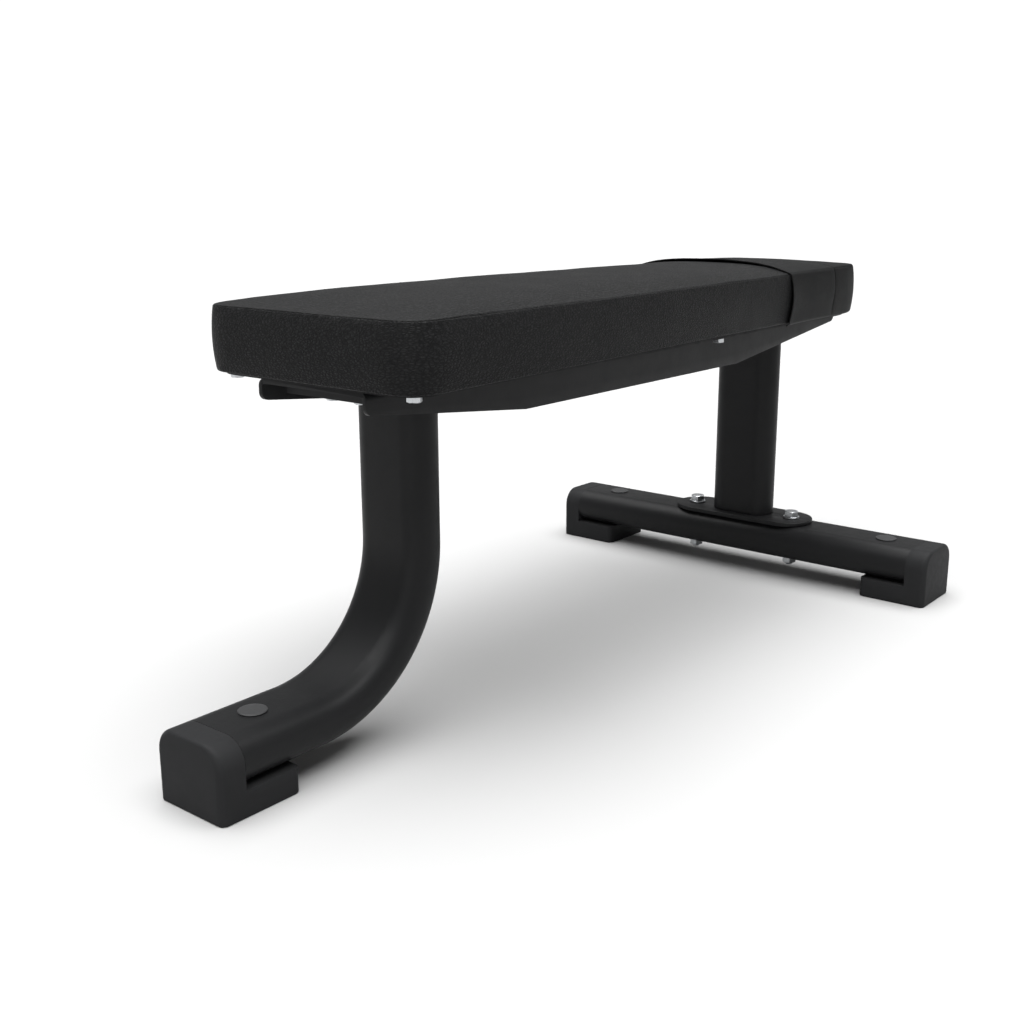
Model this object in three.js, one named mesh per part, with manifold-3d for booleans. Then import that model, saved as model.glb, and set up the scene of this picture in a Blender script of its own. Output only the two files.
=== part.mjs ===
// Flat commercial weight bench: an upholstered pad bolted to a folded steel channel that stands on a
// curved front leg and a straight rear leg over a cross tube. Millimetres, +Z up, X along the bench
// from the front foot to the head end, standing on the floor at Z = 0.
import * as THREE from 'three';
import { mergeVertices } from 'three/addons/utils/BufferGeometryUtils.js';
import Module from 'manifold-3d';

const wasm = await Module();
wasm.setup();
const { clamp, lerp, mapLinear } = THREE.MathUtils;

// ---------------------------------------------------------------- driving dimensions (mm)
const GAP = 0.3; // clearance between pieces that touch
const REACH = 5; // how far a cutting shape reaches past what it cuts

// Flat-oval steel tube shared by both legs, the front foot and the cross tube
const TUBE_WIDTH = 95;
const TUBE_DEPTH = 49;
const TUBE_WALL = 3;
const TONGUE_TOP = 27; // height of the foot caps' tongues, on which the tubes rest
const TUBE_BOTTOM = TONGUE_TOP + GAP;
const TUBE_AXIS = TUBE_BOTTOM + TUBE_DEPTH / 2;
const TUBE_TOP = TUBE_BOTTOM + TUBE_DEPTH;

// Where the frame stands, measured from the front foot's cap face
const FRONT_LEG_X = 286;
const FRONT_BEND_RADIUS = 153; // of the leg's centre line
const REAR_LEG_X = 1033;
const CROSS_HALF_LENGTH = 308;

// Foot caps: an end block and a tongue under the tube
const CAP_BLOCK = 29;
const CAP_LENGTH = 94;
const CAP_EDGE = 2.5; // bevel round the end face
const CAP_CORNER = 7; // rounding of the four upright corners
const SPIGOT_LENGTH = 16;
const SPIGOT_WALL = 4;

// Hole plug and, below it, cap screw; radii, and heights from the seat
const PLUG_INSET = 78; // from the cap's end face
const PLUG_HOLE_RADIUS = 11;
const PLUG = { radius: 14.5, edge: 0.8, shoulder: 1.5, shoulderHeight: 1.6, crown: 2.2 };
const PLUG_STEM = { wall: 2, length: 9, taper: 0.4, taperLength: 3 };
const CAP_SCREW = {
  shank: 3.5,
  head: 8,
  crown: 5,
  headEdge: 2.5,
  headHeight: 5,
  tipZ: 7,
  pointLength: 1.5,
};

// Top channel, an upside-down U folded from sheet
const CHANNEL_FRONT = 168;
const CHANNEL_REAR = 1148;
const CHANNEL_HALF_WIDTH = 76;
const CHANNEL_SHEET = 5;
const CHANNEL_BEND = 8; // outer bend radius
const CHANNEL_TOP = 380.6;
const CHANNEL_WEB = CHANNEL_TOP - CHANNEL_SHEET;
const FLANGE_LOW = 333.2; // lower edge along the middle
const FLANGE_FRONT_Z = 358.7;
const FLANGE_REAR_Z = 367.5;
const FLANGE_KINK_FRONT = 404;
const FLANGE_KINK_REAR = 857;
const FLANGE_CORNER = 7;
const DOUBLER = { length: 60, width: 110, thickness: 10, bore: 5 };

// Pad
const PAD_FRONT = 154.5;
const PAD_REAR = 1168;
const PAD_HALF_FRONT = 151.5;
const PAD_HALF_REAR = 117;
const PAD_CORNER_FRONT = 35;
const PAD_CORNER_REAR = 72;
const PAD_BOTTOM = 385.7;
const PAD_SEAM = 451;
const PAD_CROWN_FRONT = 14; // how far the top swells above the seam
const PAD_CROWN_REAR = 10.5;
const PAD_BULGE_LOW = 2.5; // how far the side tucks in at the bottom
const PAD_BULGE_HIGH = 2; // and at the top seam
const SWELL_ACROSS_FRONT = 3.6; // how squarely the top swells across the pad at its front end
const SWELL_ACROSS_REAR = 2; // at the head end
const SWELL_ALONG = 5; // and along it
const COVER_THICKNESS = 1.5;
const COVER_OPENING_INSET = 34;
const BACKING_BOTTOM = CHANNEL_TOP + GAP;
const BACKING_THICKNESS = 4.5;
const BACKING_INSET = 9.5;
const PLYWOOD_THICKNESS = 15;
const PLYWOOD_INSET = 7.5;

// Slip cover over the head end
const SLIP_MOUTH = 906;
const SLIP_CLEARANCE = 0.4;
const SLIP_THICKNESS = 2;
const SLIP_HEM_GAP = 1; // between its hem and the backing board

// M8 hardware of the pad
const M8 = {
  shank: 4,
  hexFlats: 13,
  head: 5.3,
  washer: 8.5,
  washerHole: 4.4,
  washerThickness: 1.6,
};
const PAD_BOLT_HOLE = 5;
const PAD_BOLT_TIP = 4; // how far a bolt's tip stays below the top of the plywood
const CHANNEL_BOLT_Y = 20;
const CHANNEL_BOLT_X = { front: 216, rear: 1102 };
const BACKING_BOLTS = { front: [181.5, 124.5], rear: [742, 113] };
const TEE_NUT = { flange: 10.5, flangeThickness: 1.5, barrel: 5.6, bore: 4.3, length: 12 };

// M12 hardware that holds the rear leg's base plate on the cross tube
const M12 = {
  shank: 6,
  hexFlats: 19,
  head: 7.5,
  nut: 10,
  tail: 3, // beyond the nut
  washer: 12,
  washerHole: 6.4,
  washerThickness: 2.5,
};
const BASE_PLATE = { length: 222, width: 79, thickness: 6 };
const BASE_BOLT_Y = 81;
const SLEEVE = { outer: 9, inner: 6.5 };
const HEX_CHAMFER = { drop: 1.8, inset: 0.6 };

// ---------------------------------------------------------------- fineness of the curved faces
const OUTER_SEGMENTS = 6; // each quarter-turn or half-turn of a section
const INNER_SEGMENTS = 3;
const CORNER_SEGMENTS = 4;
const PLATE_SEGMENTS = 10;
const BEND_STEPS = 16;
const ROUND_SIDES = 24;
const HIDDEN_SIDES = 12; // round holes and pieces that nothing shows
const CUSHION_GRID = { x: 12, y: 10, z: 4, corner: 3 }; // corner: how many fall inside each corner

// ---------------------------------------------------------------- colours and finishes
const finish = (color, roughness, metalness) => ({ color, roughness, metalness });
const BLACK_POWDER = finish(0x222325, 0.42, 0.25);
const BLACK_VINYL = finish(0x2a2b2d, 0.55, 0);
const GREY_PLASTIC = finish(0x2f3032, 0.5, 0);
const PLUG_PLASTIC = finish(0x5a5b5d, 0.5, 0);
const ZINC = finish(0xb9bcc0, 0.35, 0.9);
const FOAM = finish(0xd9cfae, 0.95, 0);
const PLYWOOD = finish(0xb48a5a, 0.8, 0);
const BACKING = finish(0x1b1b1c, 0.6, 0);

// ---------------------------------------------------------------- solids
function toSolid(geometry) {
  const bare = geometry.clone();
  bare.deleteAttribute('normal');
  bare.deleteAttribute('uv');
  const merged = mergeVertices(bare, 1e-4);
  const vertProperties = new Float32Array(merged.attributes.position.array);
  const triVerts = new Uint32Array(merged.index.array);
  return new wasm.Manifold(new wasm.Mesh({ numProp: 3, vertProperties, triVerts }));
}

function toGeometry(solid) {
  const mesh = solid.getMesh();
  const geometry = new THREE.BufferGeometry();
  geometry.setAttribute('position', new THREE.BufferAttribute(mesh.vertProperties, 3));
  geometry.setIndex(new THREE.BufferAttribute(mesh.triVerts, 1));
  geometry.computeVertexNormals();
  return geometry;
}

// Everything is drawn from the front foot's cap face and then moved so that the origin lies on the
// floor below the middle of the bench.
const BENCH_LENGTH = PAD_REAR + SLIP_CLEARANCE + SLIP_THICKNESS;
const group = new THREE.Group();
group.position.x = -BENCH_LENGTH / 2;

function addPiece(name, look, shape) {
  const geometry = shape.isBufferGeometry ? shape : toGeometry(shape);
  const material = new THREE.MeshStandardMaterial(look);
  const mesh = new THREE.Mesh(geometry, material);
  mesh.name = name;
  group.add(mesh);
  return mesh;
}

function box(xLow, xHigh, yLow, yHigh, zLow, zHigh) {
  const geometry = new THREE.BoxGeometry(xHigh - xLow, yHigh - yLow, zHigh - zLow);
  return geometry.translate((xLow + xHigh) / 2, (yLow + yHigh) / 2, (zLow + zHigh) / 2);
}

// A straight prism of a shape drawn in the XY plane, standing from one height to another.
function prism(shape, zLow, zHigh, curveSegments = CORNER_SEGMENTS) {
  const options = { depth: zHigh - zLow, bevelEnabled: false, curveSegments };
  return new THREE.ExtrudeGeometry(shape, options).translate(0, 0, zLow);
}

// A round solid on the vertical axis through (x, y).
function cylinder(radius, x, y, zLow, zHigh, sides = ROUND_SIDES) {
  const geometry = new THREE.CylinderGeometry(radius, radius, zHigh - zLow, sides);
  return geometry.rotateX(Math.PI / 2).translate(x, y, (zLow + zHigh) / 2);
}

// A solid of revolution about the vertical axis: profile is a closed loop of [radius, z] pairs.
function turned(profile, x, y, sides) {
  const loop = [...profile, profile[0]].map(([radius, z]) => new THREE.Vector2(radius, z));
  return new THREE.LatheGeometry(loop, sides).rotateX(Math.PI / 2).translate(x, y, 0);
}

// Flat-oval outline, long axis along X.
function ovalShape(width, depth) {
  const radius = depth / 2;
  const flat = width / 2 - radius;
  const shape = new THREE.Shape();
  shape.moveTo(-flat, -radius);
  shape.lineTo(flat, -radius);
  shape.absarc(flat, 0, radius, -Math.PI / 2, Math.PI / 2, false);
  shape.lineTo(-flat, radius);
  shape.absarc(-flat, 0, radius, Math.PI / 2, Math.PI * 1.5, false);
  return shape;
}

const tubeOuter = ovalShape(TUBE_WIDTH, TUBE_DEPTH);
const tubeInner = ovalShape(TUBE_WIDTH - 2 * TUBE_WALL, TUBE_DEPTH - 2 * TUBE_WALL);

// ---------------------------------------------------------------- front leg
// Centre line of the front leg: down from the channel, round the bend, forward to the foot cap.
class LegCurve extends THREE.Curve {
  constructor(topZ, endX, bendSteps) {
    super();
    this.topZ = topZ;
    this.endX = endX;
    this.bendSteps = bendSteps;
    this.steps = bendSteps + 2;
  }

  bendAngle(t) {
    return clamp((t * this.steps - 1) / this.bendSteps, 0, 1) * (Math.PI / 2);
  }

  getPoint(t) {
    const step = t * this.steps;
    const last = this.steps - 1;
    const angle = this.bendAngle(t);
    const x = FRONT_LEG_X - FRONT_BEND_RADIUS * (1 - Math.cos(angle));
    const z = TUBE_AXIS + FRONT_BEND_RADIUS * (1 - Math.sin(angle));
    if (step < 1) return new THREE.Vector3(x, 0, lerp(this.topZ, z, step));
    if (step > last) return new THREE.Vector3(lerp(x, this.endX, step - last), 0, z);
    return new THREE.Vector3(x, 0, z);
  }

  getTangent(t) {
    const angle = this.bendAngle(t);
    return new THREE.Vector3(-Math.sin(angle), 0, -Math.cos(angle));
  }

  getPointAt(u) {
    return this.getPoint(u);
  }

  getTangentAt(u) {
    return this.getTangent(u);
  }
}

function legSolid(shape, overshoot, curveSegments) {
  const curve = new LegCurve(CHANNEL_WEB - GAP + overshoot, CAP_BLOCK + GAP - overshoot, BEND_STEPS);
  const options = { steps: curve.steps, extrudePath: curve, curveSegments };
  return toSolid(new THREE.ExtrudeGeometry(shape, options));
}

// Access hole through a tube's top wall and the cap screw's hole through its bottom wall.
function plugHoles(x, y) {
  const access = cylinder(PLUG_HOLE_RADIUS, x, y, TUBE_TOP - TUBE_WALL - REACH, TUBE_TOP + REACH);
  const screwRadius = CAP_SCREW.shank + GAP;
  const screwTop = TUBE_BOTTOM + TUBE_WALL + REACH;
  const screw = cylinder(screwRadius, x, y, TUBE_BOTTOM - REACH, screwTop, HIDDEN_SIDES);
  return toSolid(access).add(toSolid(screw));
}

const frontLeg = legSolid(tubeOuter, 0, OUTER_SEGMENTS)
  .subtract(legSolid(tubeInner, REACH, INNER_SEGMENTS))
  .subtract(plugHoles(PLUG_INSET, 0));
addPiece('front_leg', BLACK_POWDER, frontLeg);

// ---------------------------------------------------------------- rear leg, base plate and cross tube
const PLATE_BOTTOM = TUBE_TOP + GAP;
const PLATE_TOP = PLATE_BOTTOM + BASE_PLATE.thickness;

// An upright prism on the rear leg's axis, its shape turned a quarter so that X becomes Y.
function rearLegPrism(shape, zLow, zHigh, curveSegments) {
  const geometry = prism(shape, zLow, zHigh, curveSegments).rotateZ(Math.PI / 2);
  return toSolid(geometry.translate(REAR_LEG_X, 0, 0));
}

const rearLeg = rearLegPrism(tubeOuter, PLATE_TOP + GAP, CHANNEL_WEB - GAP, OUTER_SEGMENTS)
  .subtract(rearLegPrism(tubeInner, PLATE_TOP - REACH, CHANNEL_WEB + REACH, INNER_SEGMENTS));
addPiece('rear_leg', BLACK_POWDER, rearLeg);

const plateOutline = ovalShape(BASE_PLATE.length, BASE_PLATE.width);
let basePlate = rearLegPrism(plateOutline, PLATE_BOTTOM, PLATE_TOP, PLATE_SEGMENTS);

// A prism lying along Y on the cross tube's axis.
function crossPrism(shape, halfLength, curveSegments) {
  const geometry = prism(shape, -halfLength, halfLength, curveSegments).rotateX(Math.PI / 2);
  return toSolid(geometry.translate(REAR_LEG_X, 0, TUBE_AXIS));
}

const CROSS_TUBE_END = CROSS_HALF_LENGTH - CAP_BLOCK - GAP;
let crossTube = crossPrism(tubeOuter, CROSS_TUBE_END, OUTER_SEGMENTS)
  .subtract(crossPrism(tubeInner, CROSS_TUBE_END + REACH, INNER_SEGMENTS));

for (const side of [-1, 1]) {
  crossTube = crossTube.subtract(plugHoles(REAR_LEG_X, side * (CROSS_HALF_LENGTH - PLUG_INSET)));
  const y = side * BASE_BOLT_Y;
  const boltHole = cylinder(M12.shank + GAP, REAR_LEG_X, y, PLATE_BOTTOM - REACH, PLATE_TOP + REACH);
  const sleeveHole = cylinder(SLEEVE.outer + GAP, REAR_LEG_X, y, TUBE_BOTTOM - REACH, TUBE_TOP + REACH);
  basePlate = basePlate.subtract(toSolid(boltHole));
  crossTube = crossTube.subtract(toSolid(sleeveHole));
}
addPiece('rear_leg_plate', BLACK_POWDER, basePlate);
addPiece('cross_tube', BLACK_POWDER, crossTube);

// ---------------------------------------------------------------- foot caps
// Rectangle with rounded corners, from xLow to xHigh and as far to either side as half.
function roundedRectangle(xLow, xHigh, half, radius) {
  const shape = new THREE.Shape();
  shape.absarc(xHigh - radius, half - radius, radius, 0, Math.PI / 2, false);
  shape.absarc(xLow + radius, half - radius, radius, Math.PI / 2, Math.PI, false);
  shape.absarc(xLow + radius, -half + radius, radius, Math.PI, Math.PI * 1.5, false);
  shape.absarc(xHigh - radius, -half + radius, radius, Math.PI * 1.5, Math.PI * 2, false);
  return shape;
}

// A prism lying along X from start to end on the tubes' axis height.
function alongFoot(shape, start, end) {
  const geometry = prism(shape, start, end, INNER_SEGMENTS).rotateX(Math.PI / 2).rotateZ(Math.PI / 2);
  return toSolid(geometry.translate(0, 0, TUBE_AXIS));
}

// A cap is drawn with its end face at X = 0 and its tongue pointing along +X, then turned into place.
function capGeometry() {
  const half = TUBE_WIDTH / 2;
  const round = TUBE_DEPTH / 2;
  const outline = new THREE.Shape();
  outline.moveTo(-half, CAP_EDGE);
  outline.lineTo(-half + CAP_EDGE, 0);
  outline.lineTo(half - CAP_EDGE, 0);
  outline.lineTo(half, CAP_EDGE);
  outline.lineTo(half, TUBE_AXIS);
  outline.absarc(half - round, TUBE_AXIS, round, 0, Math.PI / 2, false);
  outline.lineTo(-half + round, TUBE_TOP);
  outline.absarc(-half + round, TUBE_AXIS, round, Math.PI / 2, Math.PI, false);
  const block = new THREE.ExtrudeGeometry(outline, {
    depth: CAP_BLOCK - CAP_EDGE,
    bevelEnabled: true,
    bevelThickness: CAP_EDGE,
    bevelSize: CAP_EDGE,
    bevelOffset: -CAP_EDGE,
    bevelSegments: 2,
    curveSegments: CORNER_SEGMENTS,
  });
  // The outline's X and Y become the object's Y and Z, and the bevelled front looks along -X.
  block.rotateX(Math.PI / 2).rotateZ(Math.PI / 2).translate(CAP_EDGE, 0, 0);
  const sideways = half + REACH;
  const back = box(CAP_BLOCK, CAP_BLOCK + 2 * CAP_EDGE, -sideways, sideways, -REACH, TUBE_TOP + REACH);
  const tongue = box(CAP_BLOCK / 2, CAP_LENGTH, -half, half, 0, TONGUE_TOP);
  const plan = prism(roundedRectangle(0, CAP_LENGTH, half, CAP_CORNER), -REACH, TUBE_TOP + REACH);

  const fit = TUBE_WALL + GAP;
  const spigotOuter = ovalShape(TUBE_WIDTH - 2 * fit, TUBE_DEPTH - 2 * fit);
  const inset = fit + SPIGOT_WALL;
  const spigotInner = ovalShape(TUBE_WIDTH - 2 * inset, TUBE_DEPTH - 2 * inset);
  const spigotEnd = CAP_BLOCK + SPIGOT_LENGTH;
  const spigot = alongFoot(spigotOuter, CAP_BLOCK / 2, spigotEnd)
    .subtract(alongFoot(spigotInner, CAP_BLOCK, spigotEnd + REACH));

  const holeRadius = CAP_SCREW.shank + GAP;
  const holeLow = CAP_SCREW.tipZ - GAP;
  const screwHole = cylinder(holeRadius, PLUG_INSET, 0, holeLow, TONGUE_TOP + REACH, HIDDEN_SIDES);
  const body = toSolid(block).subtract(toSolid(back)).add(toSolid(tongue)).intersect(toSolid(plan));
  return toGeometry(body.add(spigot).subtract(toSolid(screwHole)));
}

// Cap screw: round head inside the tube on its bottom wall, shank down into the tongue.
function capScrewGeometry() {
  const seat = TUBE_BOTTOM + TUBE_WALL + GAP;
  const { shank, head, crown, headEdge, headHeight, tipZ, pointLength } = CAP_SCREW;
  const profile = [
    [0, tipZ],
    [shank, tipZ + pointLength],
    [shank, seat],
    [head, seat],
    [head, seat + headEdge],
    [crown, seat + headHeight],
    [0, seat + headHeight],
  ];
  const line = profile.map(([radius, z]) => new THREE.Vector2(radius, z));
  return new THREE.LatheGeometry(line, HIDDEN_SIDES).rotateX(Math.PI / 2).translate(PLUG_INSET, 0, 0);
}

// Hole plug: low domed button with a hollow stem in the tube's access hole.
function plugGeometry() {
  const seat = TUBE_TOP + GAP;
  const stem = PLUG_HOLE_RADIUS - GAP;
  const stemInner = stem - PLUG_STEM.wall;
  const stemLow = seat - PLUG_STEM.length;
  const profile = [
    [0, seat],
    [stemInner, seat],
    [stemInner, stemLow],
    [stem - PLUG_STEM.taper, stemLow],
    [stem, stemLow + PLUG_STEM.taperLength],
    [stem, seat],
    [PLUG.radius, seat],
    [PLUG.radius, seat + PLUG.edge],
    [PLUG.radius - PLUG.shoulder, seat + PLUG.shoulderHeight],
    [0, seat + PLUG.crown],
  ];
  const line = profile.map(([radius, z]) => new THREE.Vector2(radius, z));
  return new THREE.LatheGeometry(line, ROUND_SIDES).rotateX(Math.PI / 2).translate(PLUG_INSET, 0, 0);
}

// Each foot end: where its cap's face is and which way its tongue points.
const FOOT_ENDS = [
  { name: 'front', x: 0, y: 0, turn: 0 },
  { name: 'rear_left', x: REAR_LEG_X, y: CROSS_HALF_LENGTH, turn: -Math.PI / 2 },
  { name: 'rear_right', x: REAR_LEG_X, y: -CROSS_HALF_LENGTH, turn: Math.PI / 2 },
];

for (const end of FOOT_ENDS) {
  const pieces = [
    addPiece(`foot_cap_${end.name}`, GREY_PLASTIC, capGeometry()),
    addPiece(`cap_screw_${end.name}`, ZINC, capScrewGeometry()),
    addPiece(`hole_plug_${end.name}`, PLUG_PLASTIC, plugGeometry()),
  ];
  for (const piece of pieces) {
    piece.position.set(end.x, end.y, 0);
    piece.rotation.z = end.turn;
  }
}

// ---------------------------------------------------------------- top channel and its doublers
function channelSection() {
  const half = CHANNEL_HALF_WIDTH;
  const inner = CHANNEL_BEND - CHANNEL_SHEET;
  const low = FLANGE_LOW - CHANNEL_TOP;
  const shape = new THREE.Shape();
  shape.moveTo(-half, low);
  shape.lineTo(-half + CHANNEL_SHEET, low);
  shape.lineTo(-half + CHANNEL_SHEET, -CHANNEL_BEND);
  shape.absarc(-half + CHANNEL_BEND, -CHANNEL_BEND, inner, Math.PI, Math.PI / 2, true);
  shape.lineTo(half - CHANNEL_BEND, -CHANNEL_SHEET);
  shape.absarc(half - CHANNEL_BEND, -CHANNEL_BEND, inner, Math.PI / 2, 0, true);
  shape.lineTo(half - CHANNEL_SHEET, low);
  shape.lineTo(half, low);
  shape.lineTo(half, -CHANNEL_BEND);
  shape.absarc(half - CHANNEL_BEND, -CHANNEL_BEND, CHANNEL_BEND, 0, Math.PI / 2, false);
  shape.lineTo(-half + CHANNEL_BEND, 0);
  shape.absarc(-half + CHANNEL_BEND, -CHANNEL_BEND, CHANNEL_BEND, Math.PI / 2, Math.PI, false);
  return shape;
}

// Side view of the channel: full height on top, flanges tapering up to both ends with rounded corners.
function channelSideShape() {
  const roof = CHANNEL_TOP + REACH;
  const round = FLANGE_CORNER;
  const frontSlope = Math.atan2(FLANGE_FRONT_Z - FLANGE_LOW, FLANGE_KINK_FRONT - CHANNEL_FRONT);
  const rearSlope = Math.atan2(FLANGE_REAR_Z - FLANGE_LOW, CHANNEL_REAR - FLANGE_KINK_REAR);
  const shape = new THREE.Shape();
  shape.moveTo(CHANNEL_FRONT, roof);
  shape.lineTo(CHANNEL_FRONT, FLANGE_FRONT_Z + round);
  shape.quadraticCurveTo(
    CHANNEL_FRONT,
    FLANGE_FRONT_Z,
    CHANNEL_FRONT + round * Math.cos(frontSlope),
    FLANGE_FRONT_Z - round * Math.sin(frontSlope),
  );
  shape.lineTo(FLANGE_KINK_FRONT, FLANGE_LOW);
  shape.lineTo(FLANGE_KINK_REAR, FLANGE_LOW);
  shape.lineTo(CHANNEL_REAR - round * Math.cos(rearSlope), FLANGE_REAR_Z - round * Math.sin(rearSlope));
  shape.quadraticCurveTo(CHANNEL_REAR, FLANGE_REAR_Z, CHANNEL_REAR, FLANGE_REAR_Z + round);
  shape.lineTo(CHANNEL_REAR, roof);
  return shape;
}

const channelStrip = prism(channelSection(), CHANNEL_FRONT - REACH, CHANNEL_REAR + REACH)
  .rotateX(Math.PI / 2)
  .rotateZ(Math.PI / 2)
  .translate(0, 0, CHANNEL_TOP);
const sideHalf = CHANNEL_HALF_WIDTH + REACH;
const channelSide = prism(channelSideShape(), -sideHalf, sideHalf).rotateX(Math.PI / 2);
let channel = toSolid(channelStrip).intersect(toSolid(channelSide));

for (const [end, x] of Object.entries(CHANNEL_BOLT_X)) {
  const halfWidth = DOUBLER.width / 2;
  const top = CHANNEL_WEB - GAP;
  const low = top - DOUBLER.thickness;
  const front = x - DOUBLER.length / 2;
  let doubler = toSolid(box(front, front + DOUBLER.length, -halfWidth, halfWidth, low, top));
  for (const y of [-CHANNEL_BOLT_Y, CHANNEL_BOLT_Y]) {
    const hole = toSolid(cylinder(DOUBLER.bore, x, y, low - REACH, CHANNEL_TOP + REACH, HIDDEN_SIDES));
    doubler = doubler.subtract(hole);
    channel = channel.subtract(hole);
  }
  addPiece(`channel_doubler_${end}`, BLACK_POWDER, doubler);
}
addPiece('top_channel', BLACK_POWDER, channel);

// ---------------------------------------------------------------- pad
const PAD_LENGTH = PAD_REAR - PAD_FRONT;
const PAD_CENTRE = (PAD_FRONT + PAD_REAR) / 2;

// The pad narrows evenly from the front to the head end.
function padHalfWidth(x) {
  return mapLinear(x, PAD_FRONT, PAD_REAR, PAD_HALF_FRONT, PAD_HALF_REAR);
}

// Rounds the corners of a plain rectangle by pulling the points near them inward.
function roundCorner(x, y) {
  const end = Math.sign(x - PAD_CENTRE);
  const corner = end < 0 ? PAD_CORNER_FRONT : PAD_CORNER_REAR;
  const fromEnd = Math.abs(x - PAD_CENTRE) - PAD_LENGTH / 2 + corner;
  const fromSide = Math.abs(y) - PAD_HALF_FRONT + corner;
  if (fromEnd <= 0 || fromSide <= 0) return [x, y];
  const pull = Math.max(fromEnd, fromSide) / Math.hypot(fromEnd, fromSide);
  return [x - end * fromEnd * (1 - pull), y - Math.sign(y) * fromSide * (1 - pull)];
}

// Narrows a point of the plan with the pad's taper and tucks it in by inset.
function taper(x, y, inset) {
  const half = padHalfWidth(x);
  const shrinkX = 1 - inset / (PAD_LENGTH / 2);
  const shrinkY = 1 - inset / half;
  const narrowedY = (y * half) / PAD_HALF_FRONT;
  return new THREE.Vector2(PAD_CENTRE + (x - PAD_CENTRE) * shrinkX, narrowedY * shrinkY);
}

// Places even grid steps so that some fall inside the corner radii and the rest between them.
function spread(unit, segments, cornerSegments, halfSpan, corner) {
  const middle = 1 - (2 * cornerSegments) / segments;
  const size = Math.abs(unit);
  const straight = halfSpan - corner;
  const beyond = (size - middle) / (1 - middle);
  const length = size <= middle ? (size / middle) * straight : straight + beyond * corner;
  return Math.sign(unit) * length;
}

// The cushion's side is widest half-way up and tucks in below and above.
function sideInset(height) {
  const widest = 0.5;
  if (height < widest) return PAD_BULGE_LOW * (1 - height / widest) ** 2;
  return PAD_BULGE_HIGH * ((height - widest) / (1 - widest)) ** 2;
}

// The cushion's body, grown outward by grow: bulging sides and a top that swells from the seam.
function cushionBody(grow) {
  const grid = CUSHION_GRID;
  const body = new THREE.BoxGeometry(2, 2, 2, grid.x, grid.y, grid.z);
  const points = body.attributes.position;
  for (let i = 0; i < points.count; i += 1) {
    const height = (points.getZ(i) + 1) / 2;
    const endCorner = points.getX(i) < 0 ? PAD_CORNER_FRONT : PAD_CORNER_REAR;
    const x = PAD_CENTRE + spread(points.getX(i), grid.x, grid.corner, PAD_LENGTH / 2, endCorner);
    const y = spread(points.getY(i), grid.y, grid.corner, PAD_HALF_FRONT, PAD_CORNER_FRONT);
    const squareness = mapLinear(x, PAD_FRONT, PAD_REAR, SWELL_ACROSS_FRONT, SWELL_ACROSS_REAR);
    const across = 1 - (Math.abs(y) / PAD_HALF_FRONT) ** squareness;
    const along = 1 - (Math.abs(x - PAD_CENTRE) / (PAD_LENGTH / 2)) ** SWELL_ALONG;
    const onTop = Math.abs(height - 1) < 1e-6;
    const crown = mapLinear(x, PAD_FRONT, PAD_REAR, PAD_CROWN_FRONT, PAD_CROWN_REAR);
    const swell = onTop ? crown * across * along : 0;
    const plan = taper(...roundCorner(x, y), sideInset(height) - grow);
    const z = PAD_BOTTOM - grow + height * (PAD_SEAM - PAD_BOTTOM + 2 * grow) + swell;
    points.setXYZ(i, plan.x, plan.y, z);
  }
  return toSolid(body);
}

// A flat board with the pad's plan, tucked in by inset.
function padPlate(inset, zLow, zHigh) {
  const steps = CORNER_SEGMENTS;
  const corners = [
    { end: 1, side: 1, start: 0, radius: PAD_CORNER_REAR },
    { end: -1, side: 1, start: Math.PI / 2, radius: PAD_CORNER_FRONT },
    { end: -1, side: -1, start: Math.PI, radius: PAD_CORNER_FRONT },
    { end: 1, side: -1, start: Math.PI * 1.5, radius: PAD_CORNER_REAR },
  ];
  const outline = [];
  for (const { end, side, start, radius } of corners) {
    for (let step = 0; step <= steps; step += 1) {
      const angle = start + (step / steps) * (Math.PI / 2);
      const x = PAD_CENTRE + end * (PAD_LENGTH / 2 - radius) + radius * Math.cos(angle);
      const y = side * (PAD_HALF_FRONT - radius) + radius * Math.sin(angle);
      outline.push(taper(x, y, inset));
    }
  }
  return toSolid(prism(new THREE.Shape(outline), zLow, zHigh));
}

const BACKING_TOP = BACKING_BOTTOM + BACKING_THICKNESS;
const PLYWOOD_BOTTOM = PAD_BOTTOM + COVER_THICKNESS + GAP;
const PLYWOOD_TOP = PLYWOOD_BOTTOM + PLYWOOD_THICKNESS;

let cover = cushionBody(0)
  .subtract(cushionBody(-COVER_THICKNESS))
  .subtract(padPlate(COVER_OPENING_INSET, PAD_BOTTOM - REACH, PAD_BOTTOM + REACH));

// A box round the pad's full width, from xLow to xHigh and up to zHigh.
function padSlab(xLow, xHigh, zHigh) {
  const half = PAD_HALF_FRONT + REACH;
  return toSolid(box(xLow, xHigh, -half, half, PAD_BOTTOM - REACH, zHigh));
}

const belowFoam = padSlab(PAD_FRONT - REACH, PAD_REAR + REACH, PLYWOOD_TOP + GAP);
addPiece('pad_foam', FOAM, cushionBody(-COVER_THICKNESS - GAP).subtract(belowFoam));

const slipHem = padPlate(BACKING_INSET - SLIP_HEM_GAP, PAD_BOTTOM - REACH, PAD_BOTTOM + REACH);
const slipCover = cushionBody(SLIP_CLEARANCE + SLIP_THICKNESS)
  .subtract(cushionBody(SLIP_CLEARANCE))
  .subtract(slipHem)
  .subtract(padSlab(PAD_FRONT - REACH, SLIP_MOUTH, PAD_SEAM + PAD_CROWN_FRONT + REACH));
addPiece('head_slip_cover', BLACK_VINYL, slipCover);

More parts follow.
